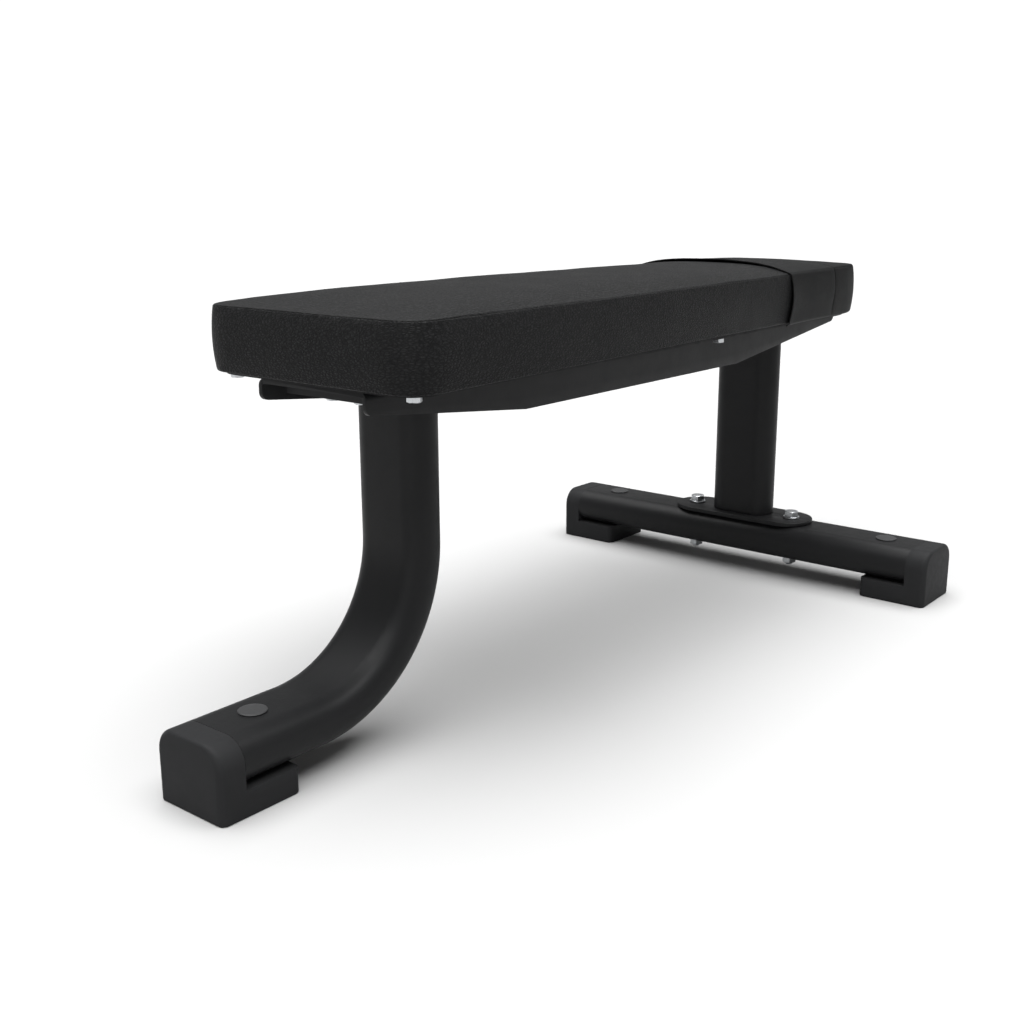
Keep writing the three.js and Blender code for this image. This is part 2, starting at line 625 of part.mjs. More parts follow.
// ---------------------------------------------------------------- hardware
// A chamfered hexagon standing from z = 0 to the given height, chamfered on top.
function hexagon(flats, height) {
  const corner = flats / 2 / Math.cos(Math.PI / 6);
  const chamfer = [
    [0, -REACH],
    [corner + REACH, -REACH],
    [corner, height - HEX_CHAMFER.drop],
    [flats / 2 - HEX_CHAMFER.inset, height],
    [0, height],
  ];
  const line = chamfer.map(([radius, z]) => new THREE.Vector2(radius, z));
  const dome = new THREE.LatheGeometry(line, ROUND_SIDES).rotateX(Math.PI / 2);
  return toSolid(cylinder(corner, 0, 0, 0, height, 6)).intersect(toSolid(dome));
}

// A hex bolt with its head on z = 0 and its shank pointing down.
function boltGeometry(size, length) {
  const shank = cylinder(size.shank, 0, 0, -length, size.head / 2, HIDDEN_SIDES);
  return toGeometry(hexagon(size.hexFlats, size.head).add(toSolid(shank)));
}

function washerGeometry(size, x, y, low) {
  const high = low + size.washerThickness;
  const { washer, washerHole } = size;
  const profile = [
    [washerHole, low],
    [washer, low],
    [washer, high],
    [washerHole, high],
  ];
  return turned(profile, x, y, ROUND_SIDES);
}

function teeNutGeometry(x, y) {
  const top = PLYWOOD_TOP - GAP;
  const underFlange = top - TEE_NUT.flangeThickness;
  const low = top - TEE_NUT.length;
  const { bore, barrel, flange } = TEE_NUT;
  const profile = [
    [bore, low],
    [barrel, low],
    [barrel, underFlange],
    [flange, underFlange],
    [flange, top],
    [bore, top],
  ];
  return turned(profile, x, y, HIDDEN_SIDES);
}

let backingBoard = padPlate(BACKING_INSET, BACKING_BOTTOM, BACKING_TOP);
let plywoodBoard = padPlate(PLYWOOD_INSET, PLYWOOD_BOTTOM, PLYWOOD_TOP);

// One M8 bolt up into a tee nut in the pad's plywood, its head's face lying against headTop.
function addPadBolt(label, x, y, headTop) {
  const tip = PLYWOOD_TOP - PAD_BOLT_TIP;
  const bolt = addPiece(`pad_bolt_${label}`, ZINC, boltGeometry(M8, tip - headTop));
  bolt.rotation.x = Math.PI;
  bolt.position.set(x, y, headTop);
  addPiece(`tee_nut_${label}`, ZINC, teeNutGeometry(x, y));
  const bore = (radius, low, high) => toSolid(cylinder(radius, x, y, low, high, HIDDEN_SIDES));
  const throughBacking = bore(PAD_BOLT_HOLE, BACKING_BOTTOM - REACH, BACKING_TOP + REACH);
  const throughPlywood = bore(TEE_NUT.barrel + GAP, PLYWOOD_BOTTOM - REACH, PLYWOOD_TOP + REACH);
  const recessLow = PLYWOOD_TOP - 2 * GAP - TEE_NUT.flangeThickness;
  const recess = bore(TEE_NUT.flange + GAP, recessLow, PLYWOOD_TOP + REACH);
  backingBoard = backingBoard.subtract(throughBacking);
  cover = cover.subtract(throughBacking);
  plywoodBoard = plywoodBoard.subtract(throughPlywood).subtract(recess);
}

const SIDES = { left: 1, right: -1 };

// The channel's bolts have washers under the doublers; the backing board's heads lie on the board.
for (const [end, x] of Object.entries(CHANNEL_BOLT_X)) {
  const washerLow = CHANNEL_WEB - GAP - DOUBLER.thickness - GAP - M8.washerThickness;
  for (const [side, sign] of Object.entries(SIDES)) {
    const y = sign * CHANNEL_BOLT_Y;
    addPadBolt(`channel_${end}_${side}`, x, y, washerLow - GAP);
    addPiece(`pad_washer_channel_${end}_${side}`, ZINC, washerGeometry(M8, x, y, washerLow));
  }
}
for (const [end, [x, y]] of Object.entries(BACKING_BOLTS)) {
  for (const [side, sign] of Object.entries(SIDES)) {
    addPadBolt(`edge_${end}_${side}`, x, sign * y, BACKING_BOTTOM - GAP);
  }
}
addPiece('pad_cover', BLACK_VINYL, cover);
addPiece('pad_backing_board', BACKING, backingBoard);
addPiece('pad_plywood', PLYWOOD, plywoodBoard);

// Two bolts clamp the rear leg's base plate to the cross tube, each through a crush sleeve.
for (const [label, sign] of Object.entries(SIDES)) {
  const y = sign * BASE_BOLT_Y;
  const topWasherLow = PLATE_TOP + GAP;
  const headSeat = topWasherLow + M12.washerThickness + GAP;
  const lowWasherLow = TUBE_BOTTOM - GAP - M12.washerThickness;
  const nutTop = lowWasherLow - GAP;
  const tip = nutTop - M12.nut - M12.tail;
  const bolt = addPiece(`base_bolt_${label}`, ZINC, boltGeometry(M12, headSeat - tip));
  bolt.position.set(REAR_LEG_X, y, headSeat);
  addPiece(`base_washer_top_${label}`, ZINC, washerGeometry(M12, REAR_LEG_X, y, topWasherLow));
  addPiece(`base_washer_low_${label}`, ZINC, washerGeometry(M12, REAR_LEG_X, y, lowWasherLow));
  const bore = cylinder(M12.shank + GAP, 0, 0, -REACH, M12.nut + REACH);
  const nut = addPiece(`base_nut_${label}`, ZINC, hexagon(M12.hexFlats, M12.nut).subtract(toSolid(bore)));
  nut.rotation.x = Math.PI;
  nut.position.set(REAR_LEG_X, y, nutTop);
  const sleeve = [
    [SLEEVE.inner, TUBE_BOTTOM],
    [SLEEVE.outer, TUBE_BOTTOM],
    [SLEEVE.outer, TUBE_TOP],
    [SLEEVE.inner, TUBE_TOP],
  ];
  addPiece(`crush_sleeve_${label}`, ZINC, turned(sleeve, REAR_LEG_X, y, HIDDEN_SIDES));
}

export default group;
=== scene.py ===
# Flat weight bench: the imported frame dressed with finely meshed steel, plastic and upholstery, with a
# cloth-simulated pad and procedural materials. Metres, +Z up, X along the bench.
import math

import bmesh
import bpy
import numpy as np
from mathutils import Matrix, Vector


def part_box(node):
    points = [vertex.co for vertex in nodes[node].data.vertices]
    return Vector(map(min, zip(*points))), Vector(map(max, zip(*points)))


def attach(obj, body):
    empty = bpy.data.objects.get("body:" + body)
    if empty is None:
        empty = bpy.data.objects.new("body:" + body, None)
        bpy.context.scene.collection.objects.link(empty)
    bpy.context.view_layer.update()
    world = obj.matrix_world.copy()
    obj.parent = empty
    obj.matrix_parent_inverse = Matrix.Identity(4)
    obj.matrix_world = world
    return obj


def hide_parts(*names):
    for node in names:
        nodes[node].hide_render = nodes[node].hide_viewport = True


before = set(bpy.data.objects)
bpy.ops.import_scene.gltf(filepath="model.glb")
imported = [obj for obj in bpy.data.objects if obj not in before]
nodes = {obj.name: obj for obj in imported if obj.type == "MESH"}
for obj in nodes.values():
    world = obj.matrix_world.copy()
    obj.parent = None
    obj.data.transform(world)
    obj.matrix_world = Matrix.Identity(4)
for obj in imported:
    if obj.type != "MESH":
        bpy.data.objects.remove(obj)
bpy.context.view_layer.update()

scene = bpy.context.scene
MM = 0.001

# ---------------------------------------------------------------- driving dimensions (mm)
# Lengths along X are measured from the front foot's cap face, whose place the frame gives.
FACE_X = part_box("foot_cap_front")[0].x / MM

TUBE_WIDTH, TUBE_DEPTH, TUBE_WALL = 95, 49, 3
TUBE_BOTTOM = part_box("cross_tube")[0].z / MM
TUBE_AXIS = TUBE_BOTTOM + TUBE_DEPTH / 2
TUBE_TOP = TUBE_BOTTOM + TUBE_DEPTH
TUBE_LIP = 0.5  # rounding of a tube's cut end
GAP = 0.3
BEND_RADIUS = 153
FRONT_LEG_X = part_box("front_leg")[1].x / MM - FACE_X - TUBE_DEPTH / 2
LEG_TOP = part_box("front_leg")[1].z / MM
REAR_LEG_X = (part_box("rear_leg")[0].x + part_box("rear_leg")[1].x) / 2 / MM - FACE_X
REAR_LEG_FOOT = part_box("rear_leg")[0].z / MM
CROSS_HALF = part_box("foot_cap_rear_left")[1].y / MM
CROSS_TUBE_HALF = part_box("cross_tube")[1].y / MM

CAP_BLOCK, CAP_LENGTH, TONGUE_TOP, PLUG_INSET = 29, 94, 27, 78
CAP_CORNER, CAP_BROW, CAP_FLOOR_ROUND = 7.5, 3.5, 2  # upright corners, top edge, lower edge
PLUG_HOLE, SCREW_HOLE, SLEEVE_HOLE, PLATE_HOLE = 11, 4, 9.3, 6.5
PLATE_EDGE, CHANNEL_EDGE, CAP_EDGE = 1.3, 0.8, 1.0

CHANNEL_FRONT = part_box("top_channel")[0].x / MM - FACE_X
CHANNEL_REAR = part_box("top_channel")[1].x / MM - FACE_X
CHANNEL_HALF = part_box("top_channel")[1].y / MM
CHANNEL_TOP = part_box("top_channel")[1].z / MM
FLANGE_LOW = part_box("top_channel")[0].z / MM
CHANNEL_SHEET, CHANNEL_BEND = 5, 8
FLANGE_FRONT_Z, FLANGE_REAR_Z = 358.7, 367.5
KINK_FRONT, KINK_REAR, FLANGE_CORNER = 404, 857, 7

PAD_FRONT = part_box("pad_cover")[0].x / MM - FACE_X
PAD_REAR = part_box("pad_cover")[1].x / MM - FACE_X
PAD_HALF_FRONT, PAD_HALF_REAR = 151.5, 117
CORNER_FRONT, CORNER_REAR = 35, 72
PAD_BOTTOM, PAD_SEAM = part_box("pad_cover")[0].z / MM, 450.5
PAD_CENTRE = (PAD_FRONT + PAD_REAR) / 2
PAD_HALF_LENGTH = (PAD_REAR - PAD_FRONT) / 2
TUCK_LOW, TUCK_HIGH, BOTTOM_ROUND = 2.5, 2, 2.5
SAG, SAG_REACH, SAG_INSET = 2.4, 500, 8.5  # hang of the front's lower edge, its reach back and its inset
CROWN_FRONT, CROWN_REAR = 13, 10  # height of the top above its seam, all told
CROWN_STARTS_AT = 0.55  # share of the crown before the cloth swells it
CROWN_POWER_FRONT, CROWN_POWER_REAR, CROWN_POWER_ALONG = 3.4, 2, 5  # higher is squarer
SIDE_SWELL = 1.6
SWELL_CAP = 1.6  # how soon the cloth's swelling levels off, higher is sooner
SWELL_PEAK = 97  # percentile of the cloth's movement that counts as its full height
CLOTH_FRAMES = 20
ROLL_WIDTH, ROLL_HEIGHT, ROLL_FADE = 3.6, 1.8, 60  # the top panel's rolled edge beside the seam
SEAM_DEPTH = 1.3
COVER_THICKNESS = 1.3
FOAM_INSET = 3
STUFFING_WAVE, SLIP_WAVE = 0.35, 0.3  # unevenness of the stuffing and of the slip cover over it
SIDE_WAVE_SHARE = 0.35  # share of that unevenness on the pad's sides
WAVE_COUNT, WAVE_SHORTEST, WAVE_LONGEST = 14, 60, 210
SEAM_CREASE = 0.7
BOARD_INSET, BOARD_EDGE = 9.5, 0.9
BOLT_HOLE = 5
PLYWOOD_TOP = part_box("pad_plywood")[1].z / MM

SLIP_MOUTH, SLIP_SEAM = 904, 1046
SLIP_CLEARANCE, SLIP_THICKNESS = 0.7, 1.4
MOUTH_LIFT_TOP, MOUTH_LIFT_SIDE, MOUTH_LIFT_LOW, MOUTH_FADE = 2.4, 2, 2, 24
SLIP_SEAM_DEPTH = 0.6

THROUGH = 3  # how far a cutting tool stands out of what it cuts
M8 = {"flats": 13, "head": 5.3, "shank": 4, "washer": 8.5, "hole": 4.4}
M12 = {"flats": 19, "head": 7.5, "nut": 10, "shank": 6, "washer": 12, "hole": 6.4, "pitch": 1.75}
HEX_FACE, HEX_RIM = 0.94, 0.985  # radii of a hexagon's turned face and rim, in shares of half its flats
HARDWARE_EDGE = 0.3  # rounding of bolts, nuts and washers


# ---------------------------------------------------------------- meshes and objects
def mesh_from(name, points, faces):
    """A mesh with outward normals from points in mm, X measured from the front foot's cap face."""
    place = np.array(points, float)
    place[:, 0] += FACE_X
    mesh = bpy.data.meshes.new(name)
    mesh.from_pydata((place * MM).tolist(), [], [[int(i) for i in face] for face in faces])
    work = bmesh.new()
    work.from_mesh(mesh)
    bmesh.ops.remove_doubles(work, verts=work.verts, dist=1e-6)
    bmesh.ops.recalc_face_normals(work, faces=work.faces)
    work.to_mesh(mesh)
    work.free()
    return mesh


def add_piece(name, mesh, material, replaced):
    """A piece of the object on its body, with its finish and the CAD nodes that it stands for."""
    piece = bpy.data.objects.new(name, mesh)
    scene.collection.objects.link(piece)
    mesh.materials.clear()
    mesh.materials.append(material)
    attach(piece, "root")
    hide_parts(*replaced)
    return piece


def bake_modifiers(piece):
    """Turns what a piece's modifiers make into its mesh."""
    depsgraph = bpy.context.evaluated_depsgraph_get()
    baked = bpy.data.meshes.new_from_object(piece.evaluated_get(depsgraph))
    piece.modifiers.clear()
    stale, piece.data = piece.data, baked
    bpy.data.meshes.remove(stale)


def shade(piece, angle=32):
    mesh = piece.data
    mesh.polygons.foreach_set("use_smooth", [True] * len(mesh.polygons))
    mesh.set_sharp_from_angle(angle=math.radians(angle))


def round_edges(piece, width, segments=3, angle=40):
    bevel = piece.modifiers.new("round", "BEVEL")
    bevel.width = width * MM
    bevel.segments = segments
    bevel.limit_method = "ANGLE"
    bevel.angle_limit = math.radians(angle)
    bake_modifiers(piece)


def cut(piece, tool_mesh):
    tool = bpy.data.objects.new("tool", tool_mesh)
    scene.collection.objects.link(tool)
    modifier = piece.modifiers.new("cut", "BOOLEAN")
    modifier.operation = "DIFFERENCE"
    modifier.solver = "EXACT"
    modifier.object = tool
    bake_modifiers(piece)
    bpy.data.objects.remove(tool)


def loft(name, rings, loop=False):
    """Skins equal rings of points; the first and last are capped, or joined when loop is true."""
    count = len(rings[0])
    points = [point for ring in rings for point in ring]
    faces = []
    pairs = len(rings) if loop else len(rings) - 1
    for index in range(pairs):
        low, high = index * count, (index + 1) % len(rings) * count
        for i in range(count):
            j = (i + 1) % count
            faces.append((low + i, low + j, high + j, high + i))
    if not loop:
        faces.append(tuple(range(count)))
        faces.append(tuple(range(len(points) - count, len(points))))
    return mesh_from(name, points, faces)


def turned(name, profile, x, y, sides=48, loop=False):
    """A solid of revolution about the vertical line through (x, y); profile holds (radius, z)."""
    rings = []
    for radius, z in profile:
        turn = np.linspace(0, 2 * math.pi, sides, endpoint=False)
        rings.append([(x + radius * math.cos(a), y + radius * math.sin(a), z) for a in turn])
    return loft(name, rings, loop=loop)


def arc(centre_a, centre_b, radius, start, end, steps):
    """Points (a, b) along a circle's arc, both ends included, angles in degrees."""
    turn = np.radians(np.linspace(start, end, steps + 1))
    return [(centre_a + radius * math.cos(a), centre_b + radius * math.sin(a)) for a in turn]


# ---------------------------------------------------------------- steel tubes
def oval(width, depth, steps=22):
    """Flat-oval section, (wide, narrow), counter-clockwise."""
    radius = depth / 2
    flat = width / 2 - radius
    return arc(flat, 0, radius, -90, 90, steps) + arc(-flat, 0, radius, 90, 270, steps)


def tube_mesh(name, path):
    """A hollow flat-oval tube along path, a list of (centre, wide axis, narrow axis)."""
    def ring(station, inset, shift=0.0):
        centre, wide, narrow = (np.array(part, float) for part in station)
        along = np.cross(wide, narrow)
        section = oval(TUBE_WIDTH - 2 * inset, TUBE_DEPTH - 2 * inset)
        return [centre + along * shift + wide * a + narrow * b for a, b in section]

    first, last, middle = path[0], path[-1], path[1:-1]
    rings = [ring(first, TUBE_LIP), ring(first, 0, TUBE_LIP)]
    rings += [ring(station, 0) for station in middle]
    rings += [ring(last, 0, -TUBE_LIP), ring(last, TUBE_LIP)]
    rings += [ring(last, TUBE_WALL - TUBE_LIP), ring(last, TUBE_WALL, -TUBE_LIP)]
    rings += [ring(station, TUBE_WALL) for station in reversed(middle)]
    rings += [ring(first, TUBE_WALL, TUBE_LIP), ring(first, TUBE_WALL - TUBE_LIP)]
    return loft(name, rings, loop=True)


def straight_path(start, end, wide, narrow, steps=6):
    return [(point, wide, narrow) for point in np.linspace(start, end, steps + 1)]


def front_leg_path():
    """Down from the channel, round the bend and forward to the foot cap."""
    wide = (0, 1, 0)
    bend_top = TUBE_AXIS + BEND_RADIUS
    path = straight_path((FRONT_LEG_X, 0, LEG_TOP), (FRONT_LEG_X, 0, bend_top), wide, (1, 0, 0))[:-1]
    for angle in np.linspace(0, math.pi / 2, 57):
        x = FRONT_LEG_X - BEND_RADIUS * (1 - math.cos(angle))
        z = bend_top - BEND_RADIUS * math.sin(angle)
        path.append(((x, 0, z), wide, (math.cos(angle), 0, -math.sin(angle))))
    foot_start = (FRONT_LEG_X - BEND_RADIUS, 0, TUBE_AXIS)
    foot_end = (CAP_BLOCK + GAP, 0, TUBE_AXIS)
    return path + straight_path(foot_start, foot_end, wide, (0, 0, -1))[1:]


def bar(x, y, radius, low, high):
    return turned("bar", [(radius, low), (radius, high)], x, y, sides=40)


def cut_plug_holes(tube, x, y):
    cut(tube, bar(x, y, PLUG_HOLE, TUBE_TOP - TUBE_WALL - THROUGH, TUBE_TOP + THROUGH))
    cut(tube, bar(x, y, SCREW_HOLE, TUBE_BOTTOM - THROUGH, TUBE_BOTTOM + TUBE_WALL + THROUGH))


def build_tubes(material):
    front = add_piece("front_leg_tube", tube_mesh("front_leg_tube", front_leg_path()), material,
                      ["front_leg"])
    cut_plug_holes(front, PLUG_INSET, 0)

    upright = straight_path((REAR_LEG_X, 0, LEG_TOP), (REAR_LEG_X, 0, REAR_LEG_FOOT),
                            (0, 1, 0), (1, 0, 0))
    rear = add_piece("rear_leg_tube", tube_mesh("rear_leg_tube", upright), material,
                     ["rear_leg"])

    ends = [(REAR_LEG_X, side * CROSS_TUBE_HALF, TUBE_AXIS) for side in (-1, 1)]
    lying = straight_path(*ends, (1, 0, 0), (0, 0, 1), steps=8)
    cross = add_piece("cross_tube_fine", tube_mesh("cross_tube_fine", lying), material,
                      ["cross_tube"])
    for side in (-1, 1):
        cut_plug_holes(cross, REAR_LEG_X, side * (CROSS_HALF - PLUG_INSET))
        bolt_low, bolt_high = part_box("base_bolt_left")
        bolt_y = side * (bolt_low.y + bolt_high.y) / 2 / MM
        cut(cross, bar(REAR_LEG_X, bolt_y, SLEEVE_HOLE, TUBE_BOTTOM - THROUGH, TUBE_TOP + THROUGH))
    for tube in (front, rear, cross):
        shade(tube)


def build_base_plate(material):
    low, high = (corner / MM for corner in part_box("rear_leg_plate"))
    outline = oval(high.y - low.y, high.x - low.x, steps=28)
    rings = [[(REAR_LEG_X - b, a, z) for a, b in outline] for z in (low.z, high.z)]
    plate = add_piece("rear_leg_base_plate", loft("rear_leg_base_plate", rings), material,
                      ["rear_leg_plate"])
    for side in ("left", "right"):
        bolt_low, bolt_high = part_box(f"base_bolt_{side}")
        bolt_y = (bolt_low.y + bolt_high.y) / 2 / MM
        cut(plate, bar(REAR_LEG_X, bolt_y, PLATE_HOLE, low.z - THROUGH, high.z + THROUGH))
    round_edges(plate, PLATE_EDGE)
    shade(plate)


# ---------------------------------------------------------------- top channel
def flange_edge(x):
    """Height of the flanges' lower edge at x: level in the middle, rising to both ends."""
    front = np.interp(x, [CHANNEL_FRONT, KINK_FRONT], [FLANGE_FRONT_Z, FLANGE_LOW])
    rear = np.interp(x, [KINK_REAR, CHANNEL_REAR], [FLANGE_LOW, FLANGE_REAR_Z])
    from_end = min(x - CHANNEL_FRONT, CHANNEL_REAR - x)
    corner = 0.0
    if from_end < FLANGE_CORNER:
        corner = FLANGE_CORNER - math.sqrt(max(FLANGE_CORNER**2 - (FLANGE_CORNER - from_end) ** 2, 0))
    return max(front, rear) + corner


def channel_ring(x):
    low = flange_edge(x)
    half, sheet, bend = CHANNEL_HALF, CHANNEL_SHEET, CHANNEL_BEND
    bend_z = CHANNEL_TOP - bend
    rows = np.linspace(low, bend_z, 4)[:-1]
    right = [(half, z) for z in rows] + arc(half - bend, bend_z, bend, 0, 90, 8)
    inner = arc(half - bend, bend_z, bend - sheet, 90, 0, 8) + [(half - sheet, z) for z in rows[::-1]]
    left = [(-y, z) for y, z in right[::-1]]
    inner_left = [(-y, z) for y, z in inner[::-1]]
    return [(x, y, z) for y, z in right + left + inner_left + inner]


def build_channel(material):
    corner = [FLANGE_CORNER * (1 - math.cos(a)) for a in np.linspace(0, math.pi / 2, 7)]
    stations = [CHANNEL_FRONT + step for step in corner]
    stations += list(np.linspace(CHANNEL_FRONT + FLANGE_CORNER, KINK_FRONT, 9)[1:])
    stations += list(np.linspace(KINK_FRONT, KINK_REAR, 15)[1:])
    stations += list(np.linspace(KINK_REAR, CHANNEL_REAR - FLANGE_CORNER, 10)[1:])
    stations += [CHANNEL_REAR - step for step in corner[::-1]][1:]
    mesh = loft("top_channel_fine", [channel_ring(x) for x in stations])
    channel = add_piece("top_channel_fine", mesh, material, ["top_channel"])
    round_edges(channel, CHANNEL_EDGE, 2, angle=60)
    for end in ("front", "rear"):
        for side in ("left", "right"):
            low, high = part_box(f"pad_bolt_channel_{end}_{side}")
            x, y = (low.x + high.x) / 2 / MM - FACE_X, (low.y + high.y) / 2 / MM
            low_end = CHANNEL_TOP - CHANNEL_SHEET - THROUGH
            cut(channel, bar(x, y, BOLT_HOLE, low_end, CHANNEL_TOP + THROUGH))
    shade(channel)


# ---------------------------------------------------------------- foot caps and hole plugs
def shoulder(x, radius):
    """How far a rounding of this radius pulls a face in at x from the end."""
    return radius - math.sqrt(max(radius**2 - max(radius - x, 0) ** 2, 0))


def cap_ring(x, tongue):
    """Section of a foot cap at x, as (x, y, z); the tongue keeps only what lies below its top."""
    end = CAP_LENGTH - x if tongue else x
    half = TUBE_WIDTH / 2 - shoulder(end, CAP_CORNER)
    round_radius = TUBE_DEPTH / 2 - shoulder(x, CAP_BROW)
    corner = CAP_FLOOR_ROUND
    floor = shoulder(x, corner)
    side = arc(half - corner, floor + corner, corner, -90, 0, 5)
    side += [(half, z) for z in (10, 18, TONGUE_TOP)]
    top = [(half, z) for z in np.linspace(TONGUE_TOP, TUBE_AXIS, 5)[1:-1]]
    top += arc(half - round_radius, TUBE_AXIS, round_radius, 0, 90, 16)
    if tongue:
        top = [(y, TONGUE_TOP) for y, z in top]
    right = side + top
    return [(x, y, z) for y, z in right + [(-y, z) for y, z in right[::-1]]]


def cap_mesh(name, place):
    bend = [CAP_CORNER * (1 - math.cos(angle)) for angle in np.linspace(0, math.pi / 2, 12)]
    rings = [cap_ring(x, False) for x in bend + list(np.linspace(CAP_CORNER, CAP_BLOCK, 4)[1:])]
    rings += [cap_ring(x, True) for x in np.linspace(CAP_BLOCK, CAP_LENGTH - CAP_CORNER, 5)]
    rings += [cap_ring(CAP_LENGTH - x, True) for x in bend[-2::-1]]
    return loft(name, [[place(point) for point in ring] for ring in rings])


# Where each cap stands: from (in from its face, across, up) to a place on the bench.
FOOT_ENDS = {
    "front": lambda p: (p[0], p[1], p[2]),
    "rear_left": lambda p: (REAR_LEG_X + p[1], CROSS_HALF - p[0], p[2]),
    "rear_right": lambda p: (REAR_LEG_X - p[1], p[0] - CROSS_HALF, p[2]),
}


PLUG_STEM = PLUG_HOLE - 0.4
# A hole plug's outline from its stem's foot to the middle of its head: (radius, height above its seat).
PLUG_OUTLINE = [(0.5, -8), (PLUG_STEM - 1, -8), (PLUG_STEM, -6), (PLUG_STEM, 0), (13.6, 0), (14.3, 0.3),
                (14.5, 0.7), (14.3, 1.1), (13.6, 1.5), (12, 1.75), (8, 1.95), (4, 2.05), (0.5, 2.1)]


def build_feet(cap_material, plug_material):
    seat = TUBE_TOP + GAP
    profile = [(radius, seat + height) for radius, height in PLUG_OUTLINE]
    for end, place in FOOT_ENDS.items():
        cap = add_piece(f"cap_{end}", cap_mesh(f"cap_{end}", place), cap_material,
                        [f"foot_cap_{end}"])
        round_edges(cap, CAP_EDGE, angle=55)
        shade(cap)
        x, y, _ = place((PLUG_INSET, 0, 0))
        plug = add_piece(f"plug_{end}", turned(f"plug_{end}", profile, x, y), plug_material,
                         [f"hole_plug_{end}"])
        shade(plug, 50)


# ---------------------------------------------------------------- bolts, washers and nuts
def hex_rings(size, low, height, up, x, y, hole=0.0):
    """Rings of a hexagon with a turned chamfer: base at low, face at low + height * up."""
    steps = 72
    turn = np.linspace(0, 2 * math.pi, steps, endpoint=False)
    half = size["flats"] / 2
    reach = half / np.cos((turn + math.pi / 6) % (math.pi / 3) - math.pi / 6)
    drop = np.maximum(reach - half, 0) * math.tan(math.radians(30)) + 0.25

    def ring(radius, z):
        radii = np.broadcast_to(radius, turn.shape)
        heights = low + up * np.broadcast_to(z, turn.shape)
        return list(zip(x + radii * np.cos(turn), y + radii * np.sin(turn), heights))

    edge = HARDWARE_EDGE
    rings = [ring(max(hole, edge), 0), ring(reach - edge, 0), ring(reach, edge)]
    rings += [ring(reach, height - drop), ring(half * HEX_RIM, height - 0.18)]
    rings += [ring(half * HEX_FACE, height), ring(max(hole + 2 * edge, edge), height)]
    if hole:
        rings += [ring(hole, height - 2 * edge)]
    return rings


def thread_rings(size, x, y, low, high, rings_per_turn=6):
    """A bolt's threaded end, the thread's crest winding up round the core."""
    steps = 36
    turn = np.linspace(0, 2 * math.pi, steps, endpoint=False)
    rings = []
    for z in np.arange(low, high, size["pitch"] / rings_per_turn):
        phase = (z / size["pitch"] - turn / (2 * math.pi)) % 1
        depth = 0.6 * size["pitch"] * np.abs(2 * phase - 1)
        chamfer = max(0.0, 1.2 - (z - low))
        radius = size["shank"] - np.maximum(depth, chamfer)
        level = np.full(steps, z)
        rings.append(list(zip(x + radius * np.cos(turn), y + radius * np.sin(turn), level)))
    return rings


def washer_profile(size, low, high):
    edge = HARDWARE_EDGE
    inner, outer = size["hole"], size["washer"]
    return [(inner, low), (outer - edge, low), (outer, low + edge), (outer, high - edge),
            (outer - edge, high), (inner, high)]


def join_meshes(name, meshes):
    work = bmesh.new()
    for mesh in meshes:
        work.from_mesh(mesh)
        bpy.data.meshes.remove(mesh)
    joined = bpy.data.meshes.new(name)
    work.to_mesh(joined)
    work.free()
    return joined


def centre_of(node):
    """Middle of a CAD node's box in X and Y, then its lowest and highest Z."""
    low, high = (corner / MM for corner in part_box(node))
    return (low.x + high.x) / 2 - FACE_X, (low.y + high.y) / 2, low.z, high.z


def add_washer(name, size, node, material):
    x, y, low, high = centre_of(node)
    mesh = turned(name, washer_profile(size, low, high), x, y, loop=True)
    shade(add_piece(name, mesh, material, [node]), 40)


def build_hardware(material):
    for place in ("channel_front", "channel_rear", "edge_front", "edge_rear"):
        for side in ("left", "right"):
            node = f"pad_bolt_{place}_{side}"
            x, y, low, high = centre_of(node)
            head = loft("head", hex_rings(M8, low + M8["head"], M8["head"], -1, x, y))
            profile = [(M8["shank"], low + M8["head"] - 0.5), (M8["shank"], high)]
            shank = turned("shank", profile, x, y, 32)
            bolt = add_piece(f"hex_bolt_{place}_{side}", join_meshes("bolt", [head, shank]), material,
                             [node])
            shade(bolt, 25)
            if place.startswith("channel"):
                add_washer(f"washer_{place}_{side}", M8, f"pad_washer_{place}_{side}", material)
    for side in ("left", "right"):
        x, y, low, high = centre_of(f"base_bolt_{side}")
        seat = high - M12["head"]
        head = loft("head", hex_rings(M12, seat, M12["head"], 1, x, y))
        nut_low = centre_of(f"base_nut_{side}")[2]
        thread_high = nut_low + 2
        profile = [(M12["shank"] - 1, thread_high - 1), (M12["shank"] - 1, seat + 1)]
        shank = turned("shank", profile, x, y, 36)
        thread = loft("thread", thread_rings(M12, x, y, low, thread_high))
        bolt = add_piece(f"base_hex_bolt_{side}", join_meshes("bolt", [head, shank, thread]), material,
                         [f"base_bolt_{side}"])
        shade(bolt, 25)
        rings = hex_rings(M12, nut_low + M12["nut"], M12["nut"], -1, x, y, hole=M12["shank"] + GAP)
        nut = add_piece(f"base_hex_nut_{side}", loft("nut", rings, loop=True), material,
                        [f"base_nut_{side}"])
        shade(nut, 25)
        for level in ("top", "low"):
            add_washer(f"base_plain_washer_{level}_{side}", M12, f"base_washer_{level}_{side}", material)


# ---------------------------------------------------------------- upholstery
# The grid of the pad's skin: steps in from its edges, down its sides and in below the board.
EDGE_STEPS = [0, 0.9, 2.4, 4.8, 8.5, 13, 18.5, 24.5, 30]
HEAD_END_STEPS = EDGE_STEPS + [37.5, 46, 54.5, 63]
GRID_STEP = 8.3
SIDE_DEPTHS = [0, 0.9, 2.4, 5, 9, 15, 22.5, 30, 37.5, 45, 51, 56, 60]
UNDER_INSETS = [SAG_INSET, 14, 22, 34]


